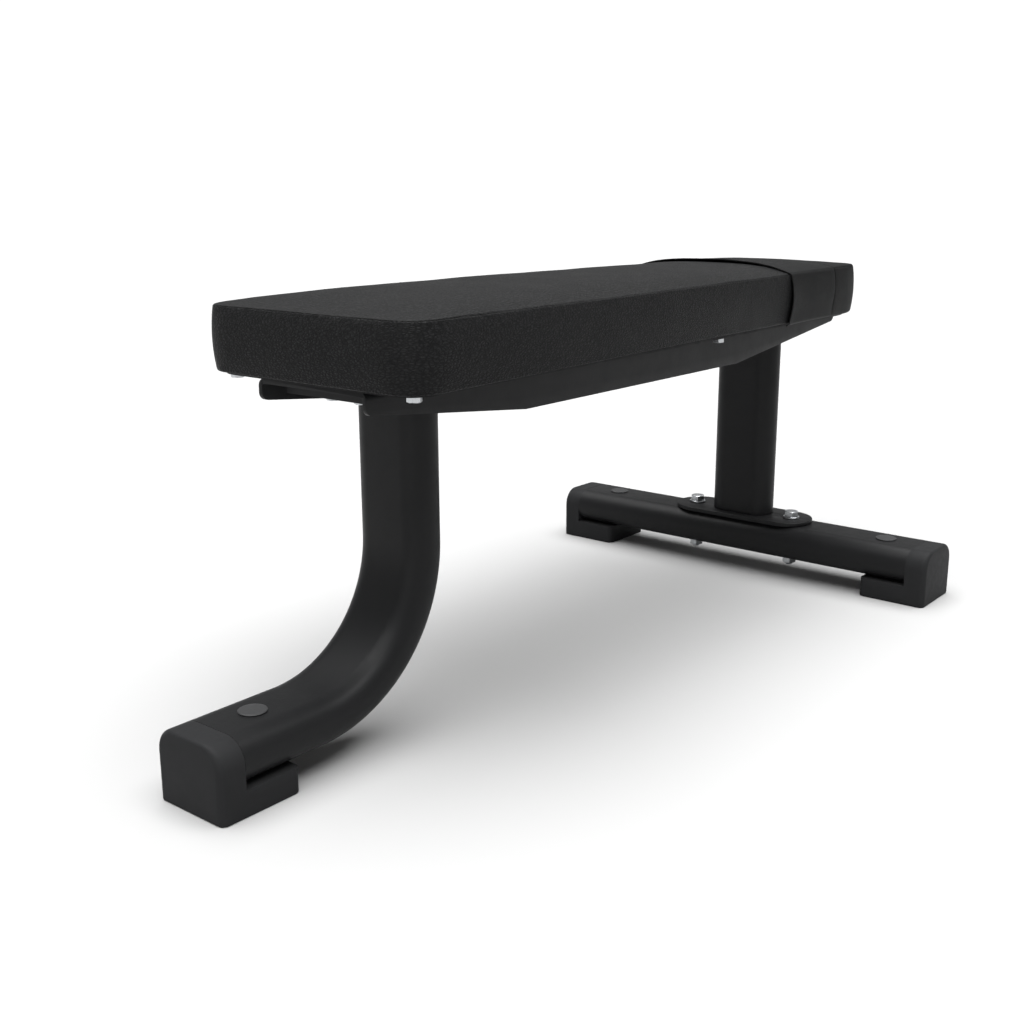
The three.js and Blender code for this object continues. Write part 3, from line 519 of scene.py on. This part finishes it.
def even_steps(stops, size):
    """Even steps of about size between each pair of stops, every stop included."""
    out = [stops[0]]
    for start, end in zip(stops, stops[1:]):
        count = max(1, round((end - start) / size))
        out += list(np.linspace(start, end, count + 1)[1:])
    return out


def pad_columns():
    front = [PAD_FRONT + step for step in EDGE_STEPS]
    rear = [PAD_REAR - step for step in HEAD_END_STEPS[::-1]]
    stops = [PAD_FRONT + CORNER_FRONT, SLIP_MOUTH, SLIP_SEAM - 1, SLIP_SEAM, SLIP_SEAM + 1,
             PAD_REAR - CORNER_REAR]
    return np.array(front + even_steps(stops, GRID_STEP) + rear)


def pad_rows():
    side = [PAD_HALF_FRONT - step for step in EDGE_STEPS]
    middle = even_steps([-(PAD_HALF_FRONT - CORNER_FRONT), PAD_HALF_FRONT - CORNER_FRONT], GRID_STEP)
    return np.array([-y for y in side] + middle + side[::-1])


def half_width(x):
    return np.interp(x, [PAD_FRONT, PAD_REAR], [PAD_HALF_FRONT, PAD_HALF_REAR])


def plan_point(x, y, inset):
    """Maps a point of a plain rectangle to the pad's plan: round corners, taper, pulled in by inset."""
    end = 1 if x > PAD_CENTRE else -1
    corner = CORNER_FRONT if end < 0 else CORNER_REAR
    from_end = abs(x - PAD_CENTRE) - PAD_HALF_LENGTH + corner
    from_side = abs(y) - PAD_HALF_FRONT + corner
    if from_end > 0 and from_side > 0:
        pull = max(from_end, from_side) / math.hypot(from_end, from_side)
        x -= end * from_end * (1 - pull)
        y -= math.copysign(from_side * (1 - pull), y)
    half = float(half_width(x))
    return (PAD_CENTRE + (x - PAD_CENTRE) * (1 - inset / PAD_HALF_LENGTH),
            y * half / PAD_HALF_FRONT * (1 - inset / half))


def crown(x, y):
    """Height of the finished top above its seam: squarer across at the front than at the head end."""
    share = (x - PAD_FRONT) / (PAD_REAR - PAD_FRONT)
    power = CROWN_POWER_FRONT + (CROWN_POWER_REAR - CROWN_POWER_FRONT) * share
    across = 1 - (abs(y) / PAD_HALF_FRONT) ** power
    along = 1 - (abs(x - PAD_CENTRE) / PAD_HALF_LENGTH) ** CROWN_POWER_ALONG
    return (CROWN_FRONT + (CROWN_REAR - CROWN_FRONT) * share) * across * along


def rolled_edge(x, y):
    """Extra height where the top panel rolls over beside its long seams, fading out at both ends."""
    from_side = PAD_HALF_FRONT - abs(y)
    from_end = PAD_HALF_LENGTH - abs(x - PAD_CENTRE)
    inside = min(from_side / ROLL_WIDTH, 1)
    return ROLL_HEIGHT * math.sqrt(1 - (1 - inside) ** 2) * min(from_end / ROLL_FADE, 1)


def side_levels():
    """(depth below the seam, inset) down the boxing and round its lower edge."""
    height = PAD_SEAM - PAD_BOTTOM
    levels = []
    for depth in SIDE_DEPTHS:
        share = 1 - depth / height
        high, low = max(share - 0.5, 0) / 0.5, max(0.5 - share, 0) / 0.5
        levels.append((depth, TUCK_HIGH * high**2 + TUCK_LOW * low**2))
    start = levels[-1][1]
    for angle in np.radians([30, 60, 90]):
        depth = height - BOTTOM_ROUND * (1 - math.sin(angle))
        levels.append((depth, start + BOTTOM_ROUND * (1 - math.cos(angle))))
    return levels


def pad_surface():
    """The pad's skin as a grid: a top panel, then rings down the side and under the edge.

    Returns points, faces, and for each point its flat (x, y) and its ring (0 on the top panel, 1 on
    the seam, and so on down)."""
    xs, ys = pad_columns(), pad_rows()
    nx, ny = len(xs), len(ys)
    points, flat, ring_of = [], [], []
    for x in xs:
        for y in ys:
            a, b = plan_point(x, y, TUCK_HIGH)
            points.append((a, b, PAD_SEAM + CROWN_STARTS_AT * crown(x, y) + rolled_edge(x, y)))
            flat.append((x, y))
            ring_of.append(0)
    faces = []
    for i in range(nx - 1):
        for j in range(ny - 1):
            corner = i * ny + j
            faces.append((corner, corner + ny, corner + ny + 1, corner + 1))
    border = [(i, 0) for i in range(nx)] + [(nx - 1, j) for j in range(1, ny)]
    border += [(i, ny - 1) for i in range(nx - 2, -1, -1)] + [(0, j) for j in range(ny - 2, 0, -1)]
    previous = [i * ny + j for i, j in border]
    for index in previous:
        ring_of[index] = 1
    levels = side_levels()[1:] + [(PAD_SEAM - PAD_BOTTOM, inset) for inset in UNDER_INSETS]
    last_side = len(side_levels())
    for number, (depth, inset) in enumerate(levels):
        hang = SAG * min(depth / (PAD_SEAM - PAD_BOTTOM), 1) ** 3 if number + 2 <= last_side else 0
        current = []
        for i, j in border:
            a, b = plan_point(xs[i], ys[j], inset)
            current.append(len(points))
            fade = max(0, 1 - (a - PAD_FRONT) / SAG_REACH)
            points.append((a, b, PAD_SEAM - depth - hang * fade))
            flat.append((xs[i], ys[j]))
            ring_of.append(number + 2)
        for k in range(len(border)):
            n = (k + 1) % len(border)
            faces.append((previous[k], current[k], current[n], previous[n]))
        previous = current
    return np.array(points), faces, np.array(flat), np.array(ring_of)


def vertex_normals(points, faces):
    quads = np.array(faces)
    across = points[quads[:, 2]] - points[quads[:, 0]]
    along = points[quads[:, 3]] - points[quads[:, 1]]
    face_normals = np.cross(across, along)
    normals = np.zeros_like(points)
    for column in range(4):
        np.add.at(normals, quads[:, column], face_normals)
    normals /= np.linalg.norm(normals, axis=1, keepdims=True)
    top = np.argmax(points[:, 2])
    return normals if normals[top, 2] > 0 else -normals


def swell(points, faces, ring_of, lowest_side_ring, target):
    """Cloth pressure swells the top panel and the boxing between the pinned seam and lower edge.

    The cloth gives the shape of the swelling; target holds its full height at every point."""
    mesh = mesh_from("swell", points, faces)
    skin = bpy.data.objects.new("swell", mesh)
    scene.collection.objects.link(skin)
    pins = skin.vertex_groups.new(name="pins")
    held = np.where((ring_of == 1) | (ring_of >= lowest_side_ring))[0]
    pins.add([int(i) for i in held], 1.0, "REPLACE")
    cloth = skin.modifiers.new("cloth", "CLOTH")
    settings = cloth.settings
    settings.quality = 6
    settings.mass = 0.3
    settings.tension_stiffness = settings.compression_stiffness = 20
    settings.shear_stiffness = 10
    settings.bending_stiffness = 1.5
    settings.vertex_group_mass = "pins"
    settings.use_pressure = True
    settings.uniform_pressure_force = 4
    settings.effector_weights.gravity = 0
    cloth.collision_settings.use_collision = False
    cloth.point_cache.frame_start = 1
    cloth.point_cache.frame_end = CLOTH_FRAMES
    for number in range(1, CLOTH_FRAMES + 1):
        scene.frame_set(number)
    shape = skin.evaluated_get(bpy.context.evaluated_depsgraph_get()).to_mesh()
    swollen = np.empty(len(points) * 3)
    shape.vertices.foreach_get("co", swollen)
    skin.evaluated_get(bpy.context.evaluated_depsgraph_get()).to_mesh_clear()
    scene.frame_set(1)
    bpy.data.objects.remove(skin)
    swollen = swollen.reshape(-1, 3) / MM
    swollen[:, 0] -= FACE_X
    move = swollen - points
    length = np.linalg.norm(move, axis=1, keepdims=True)
    share = np.empty_like(length)
    for part in (ring_of == 0, ring_of > 0):
        share[part] = length[part] / max(np.percentile(length[part], SWELL_PEAK), 1e-6)
    capped = np.tanh(SWELL_CAP * share) / math.tanh(SWELL_CAP)
    return points + move / np.maximum(length, 1e-9) * target[:, None] * capped


def waves(points, size, seed):
    """A gentle, seeded unevenness of the stuffing under the skin."""
    source = np.random.default_rng(seed)
    total = np.zeros(len(points))
    for _ in range(WAVE_COUNT):
        direction = source.normal(size=3)
        direction /= np.linalg.norm(direction)
        length = source.uniform(WAVE_SHORTEST, WAVE_LONGEST)
        total += np.sin(points @ direction * 2 * math.pi / length + source.uniform(0, 2 * math.pi))
    return size * total / math.sqrt(WAVE_COUNT)


def skin_object(name, points, faces, painted_seam_shade, thickness, material, replaced, creases):
    """A closed skin: one subdivision of the grid, then its thickness (outward when positive)."""
    used = np.unique(np.array(faces))
    index = np.full(len(points), -1)
    index[used] = np.arange(len(used))
    place = points[used].copy()
    place[:, 0] += FACE_X
    mesh = bpy.data.meshes.new(name)
    mesh.from_pydata((place * MM).tolist(), [], [[int(index[i]) for i in face] for face in faces])
    # Painted shade: the seam mask goes on the mesh, and the vinyl darkens its seam grooves by it.
    shadow = mesh.attributes.new("painted_seam_shade", "FLOAT", "POINT")
    shadow.data.foreach_set("value", painted_seam_shade[used].astype(np.float32))
    crease = mesh.attributes.new("crease_edge", "FLOAT", "EDGE")
    tagged = creases[used]
    ends = [(tagged[edge.vertices[0]], tagged[edge.vertices[1]]) for edge in mesh.edges]
    values = [SEAM_CREASE if first and first == second else 0.0 for first, second in ends]
    crease.data.foreach_set("value", values)
    piece = add_piece(name, mesh, material, replaced)
    subdivision = piece.modifiers.new("subdivision", "SUBSURF")
    subdivision.levels = subdivision.render_levels = 1
    shell = piece.modifiers.new("thickness", "SOLIDIFY")
    shell.thickness = abs(thickness) * MM
    shell.offset = math.copysign(1, thickness)
    bake_modifiers(piece)
    shade(piece, 60)
    return piece


def build_pad(vinyl, slip_vinyl, foam):
    points, faces, flat, ring_of = pad_surface()
    flat_x, flat_y = flat[:, 0], flat[:, 1]
    depth = np.clip(PAD_SEAM - points[:, 2], 0, None) * (ring_of > 0)
    last_side = len(side_levels())
    lowest = last_side - 3
    top_share = 1 - CROWN_STARTS_AT
    peak = np.array([crown(x, 0) for x in flat_x])
    target = np.where(ring_of == 0, top_share * peak, SIDE_SWELL)
    points = swell(points, faces, ring_of, lowest, target)
    normals = vertex_normals(points, faces)
    quiet = np.where(ring_of == 0, 1.0, SIDE_WAVE_SHARE) * (ring_of != 1) * (ring_of < lowest)
    points += normals * (waves(points, STUFFING_WAVE, 7) * quiet)[:, None]

    # The seam ring is pushed in, creased and given painted shade.
    seam = (ring_of == 1).astype(float)
    inner = points - normals * FOAM_INSET
    sewn = points - normals * (seam * SEAM_DEPTH)[:, None]
    cover = skin_object("pad_upholstery", sewn, faces, seam, -COVER_THICKNESS, vinyl,
                        ["pad_cover"], seam.astype(int))

    # The slip cover follows the pad behind its mouth, down to the lower edge. Its mouth stands off
    # in the middle of the top and of the sides, and is tight at the corners.
    quads = np.array(faces)
    behind = (flat_x[quads] >= SLIP_MOUTH - 0.01).all(axis=1)
    behind &= (ring_of[quads] <= last_side).all(axis=1)
    slip_faces = [faces[i] for i in np.where(behind)[0]]
    down = np.clip(depth / (PAD_SEAM - PAD_BOTTOM), 0, 1)
    stand_off = np.where(ring_of == 0, MOUTH_LIFT_TOP * (1 - (flat_y / PAD_HALF_FRONT) ** 2),
                         MOUTH_LIFT_SIDE * np.sin(math.pi * down) + MOUTH_LIFT_LOW * down)
    past_mouth = np.maximum(flat_x - SLIP_MOUTH, 0)
    lift = SLIP_CLEARANCE + stand_off * np.exp(-past_mouth / MOUTH_FADE)
    end_seam = (np.abs(flat_x - SLIP_SEAM) < 0.01) & (ring_of <= last_side)
    # Both seams of the slip cover are pushed in, creased and given painted shade.
    slip_groove = np.maximum(seam, end_seam.astype(float))
    bulge = waves(points, SLIP_WAVE, 19) * (ring_of != 1) * (ring_of < lowest)
    outward = lift + np.maximum(bulge, 0) - slip_groove * SLIP_SEAM_DEPTH
    slip_points = points + normals * outward[:, None]
    slip = skin_object("head_end_slip_cover", slip_points, slip_faces, slip_groove, SLIP_THICKNESS,
                       slip_vinyl, ["head_slip_cover"], slip_groove.astype(int))

    # The foam core fills the cover above the plywood and is flat below.
    rings_above = [ring for ring in range(2, lowest)
                   if inner[ring_of == ring, 2].min() > PLYWOOD_TOP + 1]
    base = np.where(ring_of == rings_above[-1])[0]
    inner[base, 2] = PLYWOOD_TOP + 0.5
    used = (ring_of[quads] <= rings_above[-1]).all(axis=1)
    kept = np.unique(quads[used])
    index = np.full(len(points), -1)
    index[kept] = np.arange(len(kept))
    foam_faces = [tuple(face) for face in index[quads[used]]] + [tuple(index[base])]
    foam_mesh = mesh_from("foam_core", inner[kept], foam_faces)
    core = add_piece("foam_core", foam_mesh, foam, ["pad_foam"])
    shade(core, 60)


def build_board(material):
    """The board under the pad, with the pad's plan and rounded edges."""
    low, high = (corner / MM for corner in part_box("pad_backing_board"))
    outline = []
    for end, side, start, radius in ((1, 1, 0, CORNER_REAR), (-1, 1, 90, CORNER_FRONT),
                                     (-1, -1, 180, CORNER_FRONT), (1, -1, 270, CORNER_REAR)):
        for x, y in arc(PAD_CENTRE + end * (PAD_HALF_LENGTH - radius), side * (PAD_HALF_FRONT - radius),
                        radius, start, start + 90, 20):
            half = float(half_width(x))
            outline.append((PAD_CENTRE + (x - PAD_CENTRE) * (1 - BOARD_INSET / PAD_HALF_LENGTH),
                            y * half / PAD_HALF_FRONT * (1 - BOARD_INSET / half)))
    rings = [[(x, y, z) for x, y in outline] for z in (low.z, high.z)]
    board = add_piece("backing_board_fine", loft("backing_board_fine", rings), material,
                      ["pad_backing_board"])
    for place in ("channel_front", "channel_rear", "edge_front", "edge_rear"):
        for side in ("left", "right"):
            x, y, _, _ = centre_of(f"pad_bolt_{place}_{side}")
            cut(board, bar(x, y, BOLT_HOLE, low.z - THROUGH, high.z + THROUGH))
    round_edges(board, BOARD_EDGE)
    shade(board)


# ---------------------------------------------------------------- materials
class Finish:
    """A node material built from small steps, all in object coordinates (metres)."""

    def __init__(self, name, color, roughness, specular=0.5, metallic=0.0):
        self.material = bpy.data.materials.new(name)
        self.material.use_nodes = True
        self.tree = self.material.node_tree
        self.shader = self.tree.nodes["Principled BSDF"]
        self.shader.inputs["Base Color"].default_value = (*color, 1)
        self.shader.inputs["Roughness"].default_value = roughness
        self.shader.inputs["Specular IOR Level"].default_value = specular
        self.shader.inputs["Metallic"].default_value = metallic
        self.place = self.node("ShaderNodeTexCoord").outputs["Object"]

    def node(self, kind, **values):
        node = self.tree.nodes.new(kind)
        for key, value in values.items():
            if hasattr(node, key):
                setattr(node, key, value)
            else:
                node.inputs[key.replace("_", " ").title()].default_value = value
        return node

    def link(self, source, target):
        self.tree.links.new(source, target)

    def stretched(self, scale):
        node = self.node("ShaderNodeMapping")
        self.link(self.place, node.inputs["Vector"])
        node.inputs["Scale"].default_value = scale
        return node.outputs["Vector"]

    def noise(self, scale, detail=3.0, roughness=0.5, vector=None):
        node = self.node("ShaderNodeTexNoise", scale=scale, detail=detail, roughness=roughness)
        self.link(vector or self.place, node.inputs["Vector"])
        return node.outputs["Fac"]

    def cells(self, scale, feature="F1", vector=None):
        node = self.node("ShaderNodeTexVoronoi", feature=feature, scale=scale)
        self.link(vector or self.place, node.inputs["Vector"])
        return node.outputs["Distance"]

    def warped(self, vector, scale, amount):
        """The vector moved about by noise, so that a pattern on it looks natural."""
        noise = self.node("ShaderNodeTexNoise", scale=scale, detail=2.0)
        self.link(vector, noise.inputs["Vector"])
        centred = self.node("ShaderNodeVectorMath", operation="SUBTRACT")
        self.link(noise.outputs["Color"], centred.inputs[0])
        centred.inputs[1].default_value = (0.5, 0.5, 0.5)
        sized = self.node("ShaderNodeVectorMath", operation="SCALE")
        self.link(centred.outputs[0], sized.inputs[0])
        sized.inputs["Scale"].default_value = amount
        total = self.node("ShaderNodeVectorMath", operation="ADD")
        self.link(vector, total.inputs[0])
        self.link(sized.outputs[0], total.inputs[1])
        return total.outputs[0]

    def ramp(self, value, low, high, start=0.3, end=0.7):
        """Maps value from start..end to low..high."""
        node = self.node("ShaderNodeMapRange")
        node.inputs["From Min"].default_value = start
        node.inputs["From Max"].default_value = end
        node.inputs["To Min"].default_value = low
        node.inputs["To Max"].default_value = high
        self.link(value, node.inputs["Value"])
        return node.outputs["Result"]

    def math(self, operation, first, second):
        node = self.node("ShaderNodeMath", operation=operation)
        for socket, value in zip(node.inputs, (first, second)):
            if isinstance(value, (int, float)):
                socket.default_value = value
            else:
                self.link(value, socket)
        return node.outputs[0]

    def blend(self, factor, low, high):
        """Mixes two colours (or colour outputs) by factor."""
        node = self.node("ShaderNodeMix", data_type="RGBA")
        self.link(factor, node.inputs[0])
        for socket, value in ((node.inputs[6], low), (node.inputs[7], high)):
            if isinstance(value, tuple):
                socket.default_value = (*value, 1)
            else:
                self.link(value, socket)
        return node.outputs[2]

    def color(self, output):
        self.link(output, self.shader.inputs["Base Color"])

    def roughness(self, output):
        self.link(output, self.shader.inputs["Roughness"])

    def bump(self, height, distance, strength=1.0):
        node = self.node("ShaderNodeBump", strength=strength, distance=distance)
        self.link(height, node.inputs["Height"])
        previous = self.shader.inputs["Normal"].links
        if previous:
            self.link(previous[0].from_socket, node.inputs["Normal"])
        self.link(node.outputs["Normal"], self.shader.inputs["Normal"])


def powder_coat():
    finish = Finish("powder_coat", (0.0117, 0.0119, 0.0125), 0.42, 0.12)
    broad = finish.noise(9, 3)
    finish.color(finish.blend(broad, (0.0107, 0.0109, 0.0114), (0.0128, 0.013, 0.0136)))
    finish.roughness(finish.ramp(finish.noise(60, 4, 0.6), 0.38, 0.47))
    finish.bump(finish.noise(340, 2, 0.45), 0.00012, 0.5)
    finish.bump(finish.noise(1700, 2, 0.5), 0.00003, 0.4)
    return finish.material


def grained_vinyl(name, cell, depth, color, roughness, specular, squash):
    """Leather-grain vinyl: rounded pebbles with fine creases between them, softly uneven sheen, painted
    shade in the creases and in the seam grooves.

    The pebbles are cell wide and depth high, in metres; squash shortens them along each axis."""
    finish = Finish(name, color, roughness, specular)
    place = finish.warped(finish.stretched(squash), 90, 0.0035)
    place = finish.warped(place, 500, 0.0008)
    crease = finish.cells(1 / cell, "DISTANCE_TO_EDGE", place)
    pebble = finish.ramp(crease, 0.0, 1.0, 0.02, 0.36)
    fine = finish.noise(2600, 2, 0.6, place)
    height = finish.math("ADD", pebble, finish.math("MULTIPLY", fine, 0.35))
    finish.bump(finish.noise(38, 3, 0.5), 0.0003, 0.35)
    finish.bump(height, depth)
    # Painted shade and highlight: the grain's colour is halved in the creases and a quarter lighter on
    # the pebbles' tops.
    dark, light = tuple(c * 0.5 for c in color), tuple(c * 1.25 for c in color)
    grain = finish.blend(pebble, dark, light)
    # Painted shade: along the seams the colour falls to 0.15 of the vinyl's own.
    painted_seam_shade = finish.node("ShaderNodeAttribute", attribute_name="painted_seam_shade").outputs["Fac"]
    painted_shade_share = finish.ramp(painted_seam_shade, 0.0, 1.0, 0.25, 1.0)
    finish.color(finish.blend(painted_shade_share, grain, tuple(c * 0.15 for c in color)))
    patches = finish.noise(14, 4, 0.55)
    uneven = finish.ramp(patches, roughness - 0.03, roughness + 0.04)
    finish.roughness(finish.math("SUBTRACT", uneven, finish.math("MULTIPLY", pebble, 0.05)))
    return finish.material


def moulded_plastic(name, color, roughness, specular):
    finish = Finish(name, color, roughness, specular)
    dark, light = tuple(c * 0.9 for c in color), tuple(c * 1.12 for c in color)
    finish.color(finish.blend(finish.noise(30, 4), dark, light))
    finish.roughness(finish.ramp(finish.noise(120, 3), roughness - 0.05, roughness + 0.05))
    finish.bump(finish.noise(1500, 3, 0.6), 0.00002, 0.6)
    return finish.material


def zinc_plate():
    finish = Finish("zinc_plate", (0.55, 0.57, 0.6), 0.34, 0.5, 1.0)
    finish.color(finish.blend(finish.noise(220, 4), (0.46, 0.48, 0.5), (0.66, 0.67, 0.68)))
    finish.roughness(finish.ramp(finish.noise(420, 4), 0.27, 0.42))
    finish.bump(finish.noise(2400, 2), 0.00003, 0.6)
    return finish.material


def board_panel():
    finish = Finish("board_panel", (0.012, 0.012, 0.0125), 0.6, 0.1)
    fibres = finish.noise(160, 5, 0.65)
    finish.color(finish.blend(fibres, (0.009, 0.009, 0.0095), (0.016, 0.016, 0.0165)))
    finish.roughness(finish.ramp(finish.noise(80, 3), 0.5, 0.66))
    finish.bump(finish.noise(1300, 4, 0.6), 0.00008, 0.7)
    return finish.material


def upholstery_foam():
    finish = Finish("upholstery_foam", (0.72, 0.62, 0.4), 0.95, 0.1)
    pores = finish.cells(900)
    # Painted shade: the colour is darker in each pore's hollow and lighter on the walls between pores.
    walls = finish.ramp(pores, 0, 1, 0.1, 0.6)
    finish.color(finish.blend(walls, (0.5, 0.42, 0.25), (0.78, 0.69, 0.47)))
    finish.roughness(finish.ramp(finish.noise(300, 3), 0.88, 1.0))
    finish.bump(pores, 0.0005)
    return finish.material


def birch_plywood():
    finish = Finish("birch_plywood", (0.5, 0.34, 0.18), 0.7, 0.3)
    grain = finish.noise(60, 5, 0.6, finish.stretched((0.06, 1, 3)))
    face = finish.blend(grain, (0.42, 0.27, 0.13), (0.62, 0.45, 0.26))
    plies = finish.node("ShaderNodeTexWave", scale=210, bands_direction="Z")
    finish.link(finish.place, plies.inputs["Vector"])
    glue = finish.ramp(plies.outputs["Fac"], 0, 0.5, 0.3, 0.9)
    finish.color(finish.blend(glue, face, (0.25, 0.14, 0.06)))
    finish.roughness(finish.ramp(grain, 0.6, 0.82))
    finish.bump(grain, 0.0002, 0.6)
    return finish.material


# ---------------------------------------------------------------- stage, light and camera
FLOOR_REACH = 60  # metres from the middle to each side
BACKDROP = 1.1  # brightness of the backdrop that the camera sees
# Brightness of the room by height: 0 at the horizon and 1 overhead.
ROOM_STOPS = [(0.0, 0.22), (0.1, 0.22), (0.17, 0.42), (0.33, 0.42), (0.45, 0.05), (1.0, 0.05)]
# Name, kind, place, target, energy and size of each light.
LIGHTS = [
    ("overhead", "SUN", (0.02, -0.1, 3), (0, 0, 0), 7.8, math.radians(77)),
    ("front_panel", "AREA", (-3.2, -0.9, 0.7), (0, 0, 0.25), 12, 1.8),
]
CAMERA_LENS, CAMERA_SENSOR, CAMERA_SHIFT = 43.65, 36, (-0.0088, -0.0116)
CAMERA_PLACE = (-1.2063, -0.8961, 0.5630)
CAMERA_YAW, CAMERA_PITCH, CAMERA_ROLL = 38.92, -14.12, -0.11  # degrees


def build_stage():
    mesh = bpy.data.meshes.new("studio_floor")
    corners = [(-FLOOR_REACH, -FLOOR_REACH, 0), (FLOOR_REACH, -FLOOR_REACH, 0),
               (FLOOR_REACH, FLOOR_REACH, 0), (-FLOOR_REACH, FLOOR_REACH, 0)]
    mesh.from_pydata(corners, [], [(0, 1, 2, 3)])
    floor = bpy.data.objects.new("studio_floor", mesh)
    scene.collection.objects.link(floor)
    paper = Finish("studio_paper", (0.42, 0.42, 0.42), 0.9, 0.0)
    paper.color(paper.blend(paper.noise(1.5, 2), (0.415, 0.415, 0.415), (0.425, 0.425, 0.425)))
    mesh.materials.append(paper.material)


def build_world():
    """A white backdrop for the camera; every other ray meets a room that is dim at the horizon,
    brighter a little above it and dark overhead."""
    world = bpy.data.worlds.new("studio")
    world.use_nodes = True
    scene.world = world
    tree = world.node_tree
    coordinates = tree.nodes.new("ShaderNodeTexCoord")
    split = tree.nodes.new("ShaderNodeSeparateXYZ")
    ramp = tree.nodes.new("ShaderNodeValToRGB")
    tree.links.new(coordinates.outputs["Generated"], split.inputs[0])
    tree.links.new(split.outputs["Z"], ramp.inputs[0])
    elements = ramp.color_ramp.elements
    while len(elements) < len(ROOM_STOPS):
        elements.new(0.5)
    for element, (position, level) in zip(elements, ROOM_STOPS):
        element.position = position
        element.color = (level, level, level, 1)
    room = tree.nodes["Background"]
    tree.links.new(ramp.outputs["Color"], room.inputs["Color"])
    backdrop = tree.nodes.new("ShaderNodeBackground")
    backdrop.inputs["Color"].default_value = (BACKDROP, BACKDROP, BACKDROP, 1)
    path = tree.nodes.new("ShaderNodeLightPath")
    choice = tree.nodes.new("ShaderNodeMixShader")
    tree.links.new(path.outputs["Is Camera Ray"], choice.inputs[0])
    tree.links.new(room.outputs[0], choice.inputs[1])
    tree.links.new(backdrop.outputs[0], choice.inputs[2])
    tree.links.new(choice.outputs[0], tree.nodes["World Output"].inputs["Surface"])


def add_light(name, kind, place, target, energy, size):
    """A sun, whose size is the angle that it fills, or a square panel, whose size is its side."""
    data = bpy.data.lights.new(name, kind)
    data.energy = energy
    if kind == "SUN":
        data.angle = size
    else:
        data.size = size
    light = bpy.data.objects.new(name, data)
    light.location = place
    direction = Vector(target) - Vector(place)
    light.rotation_euler = direction.to_track_quat("-Z", "Y").to_euler()
    scene.collection.objects.link(light)


def build_camera():
    data = bpy.data.cameras.new("camera")
    data.sensor_width = CAMERA_SENSOR
    data.lens = CAMERA_LENS
    data.shift_x, data.shift_y = CAMERA_SHIFT
    data.clip_end = 200
    camera = bpy.data.objects.new("camera", data)
    yaw, pitch, roll = (math.radians(angle) for angle in (CAMERA_YAW, CAMERA_PITCH, CAMERA_ROLL))
    forward = Vector((math.cos(pitch) * math.cos(yaw), math.cos(pitch) * math.sin(yaw), math.sin(pitch)))
    right = forward.cross(Vector((0, 0, 1))).normalized()
    up = right.cross(forward)
    turned_right = right * math.cos(roll) + up * math.sin(roll)
    turned_up = up * math.cos(roll) - right * math.sin(roll)
    matrix = camera.matrix_world.copy()
    for row in range(3):
        matrix[row] = (turned_right[row], turned_up[row], -forward[row], CAMERA_PLACE[row])
    camera.matrix_world = matrix
    scene.collection.objects.link(camera)
    return camera


# ---------------------------------------------------------------- the scene
bpy.context.scene.camera = build_camera()
scene.view_settings.view_transform = "Standard"
build_world()
build_stage()
for light in LIGHTS:
    add_light(*light)

steel = powder_coat()
zinc = zinc_plate()
cap_plastic = moulded_plastic("cap_plastic", (0.0215, 0.0218, 0.0226), 0.45, 0.03)
plug_plastic = moulded_plastic("plug_plastic", (0.038, 0.0385, 0.0396), 0.45, 0.15)
panel = board_panel()
plywood = birch_plywood()
foam_finish = upholstery_foam()
pad_vinyl = grained_vinyl("grained_vinyl", 0.0036, 0.0005, (0.0115, 0.0117, 0.0121), 0.5, 0.085,
                          (0.75, 0.75, 1.7))
slip_vinyl = grained_vinyl("slip_vinyl", 0.0015, 0.0002, (0.0096, 0.0098, 0.0101), 0.56, 0.08,
                           (1, 1, 1.3))

build_tubes(steel)
build_base_plate(steel)
build_channel(steel)
build_feet(cap_plastic, plug_plastic)
build_hardware(zinc)
build_pad(pad_vinyl, slip_vinyl, foam_finish)
build_board(panel)

KEPT = {"tee_nut": zinc, "crush_sleeve": zinc, "cap_screw": zinc, "channel_doubler": steel,
        "pad_plywood": plywood}
for node_name, node in nodes.items():
    for prefix, finish in KEPT.items():
        if node_name.startswith(prefix):
            node.data.materials.clear()
            node.data.materials.append(finish)
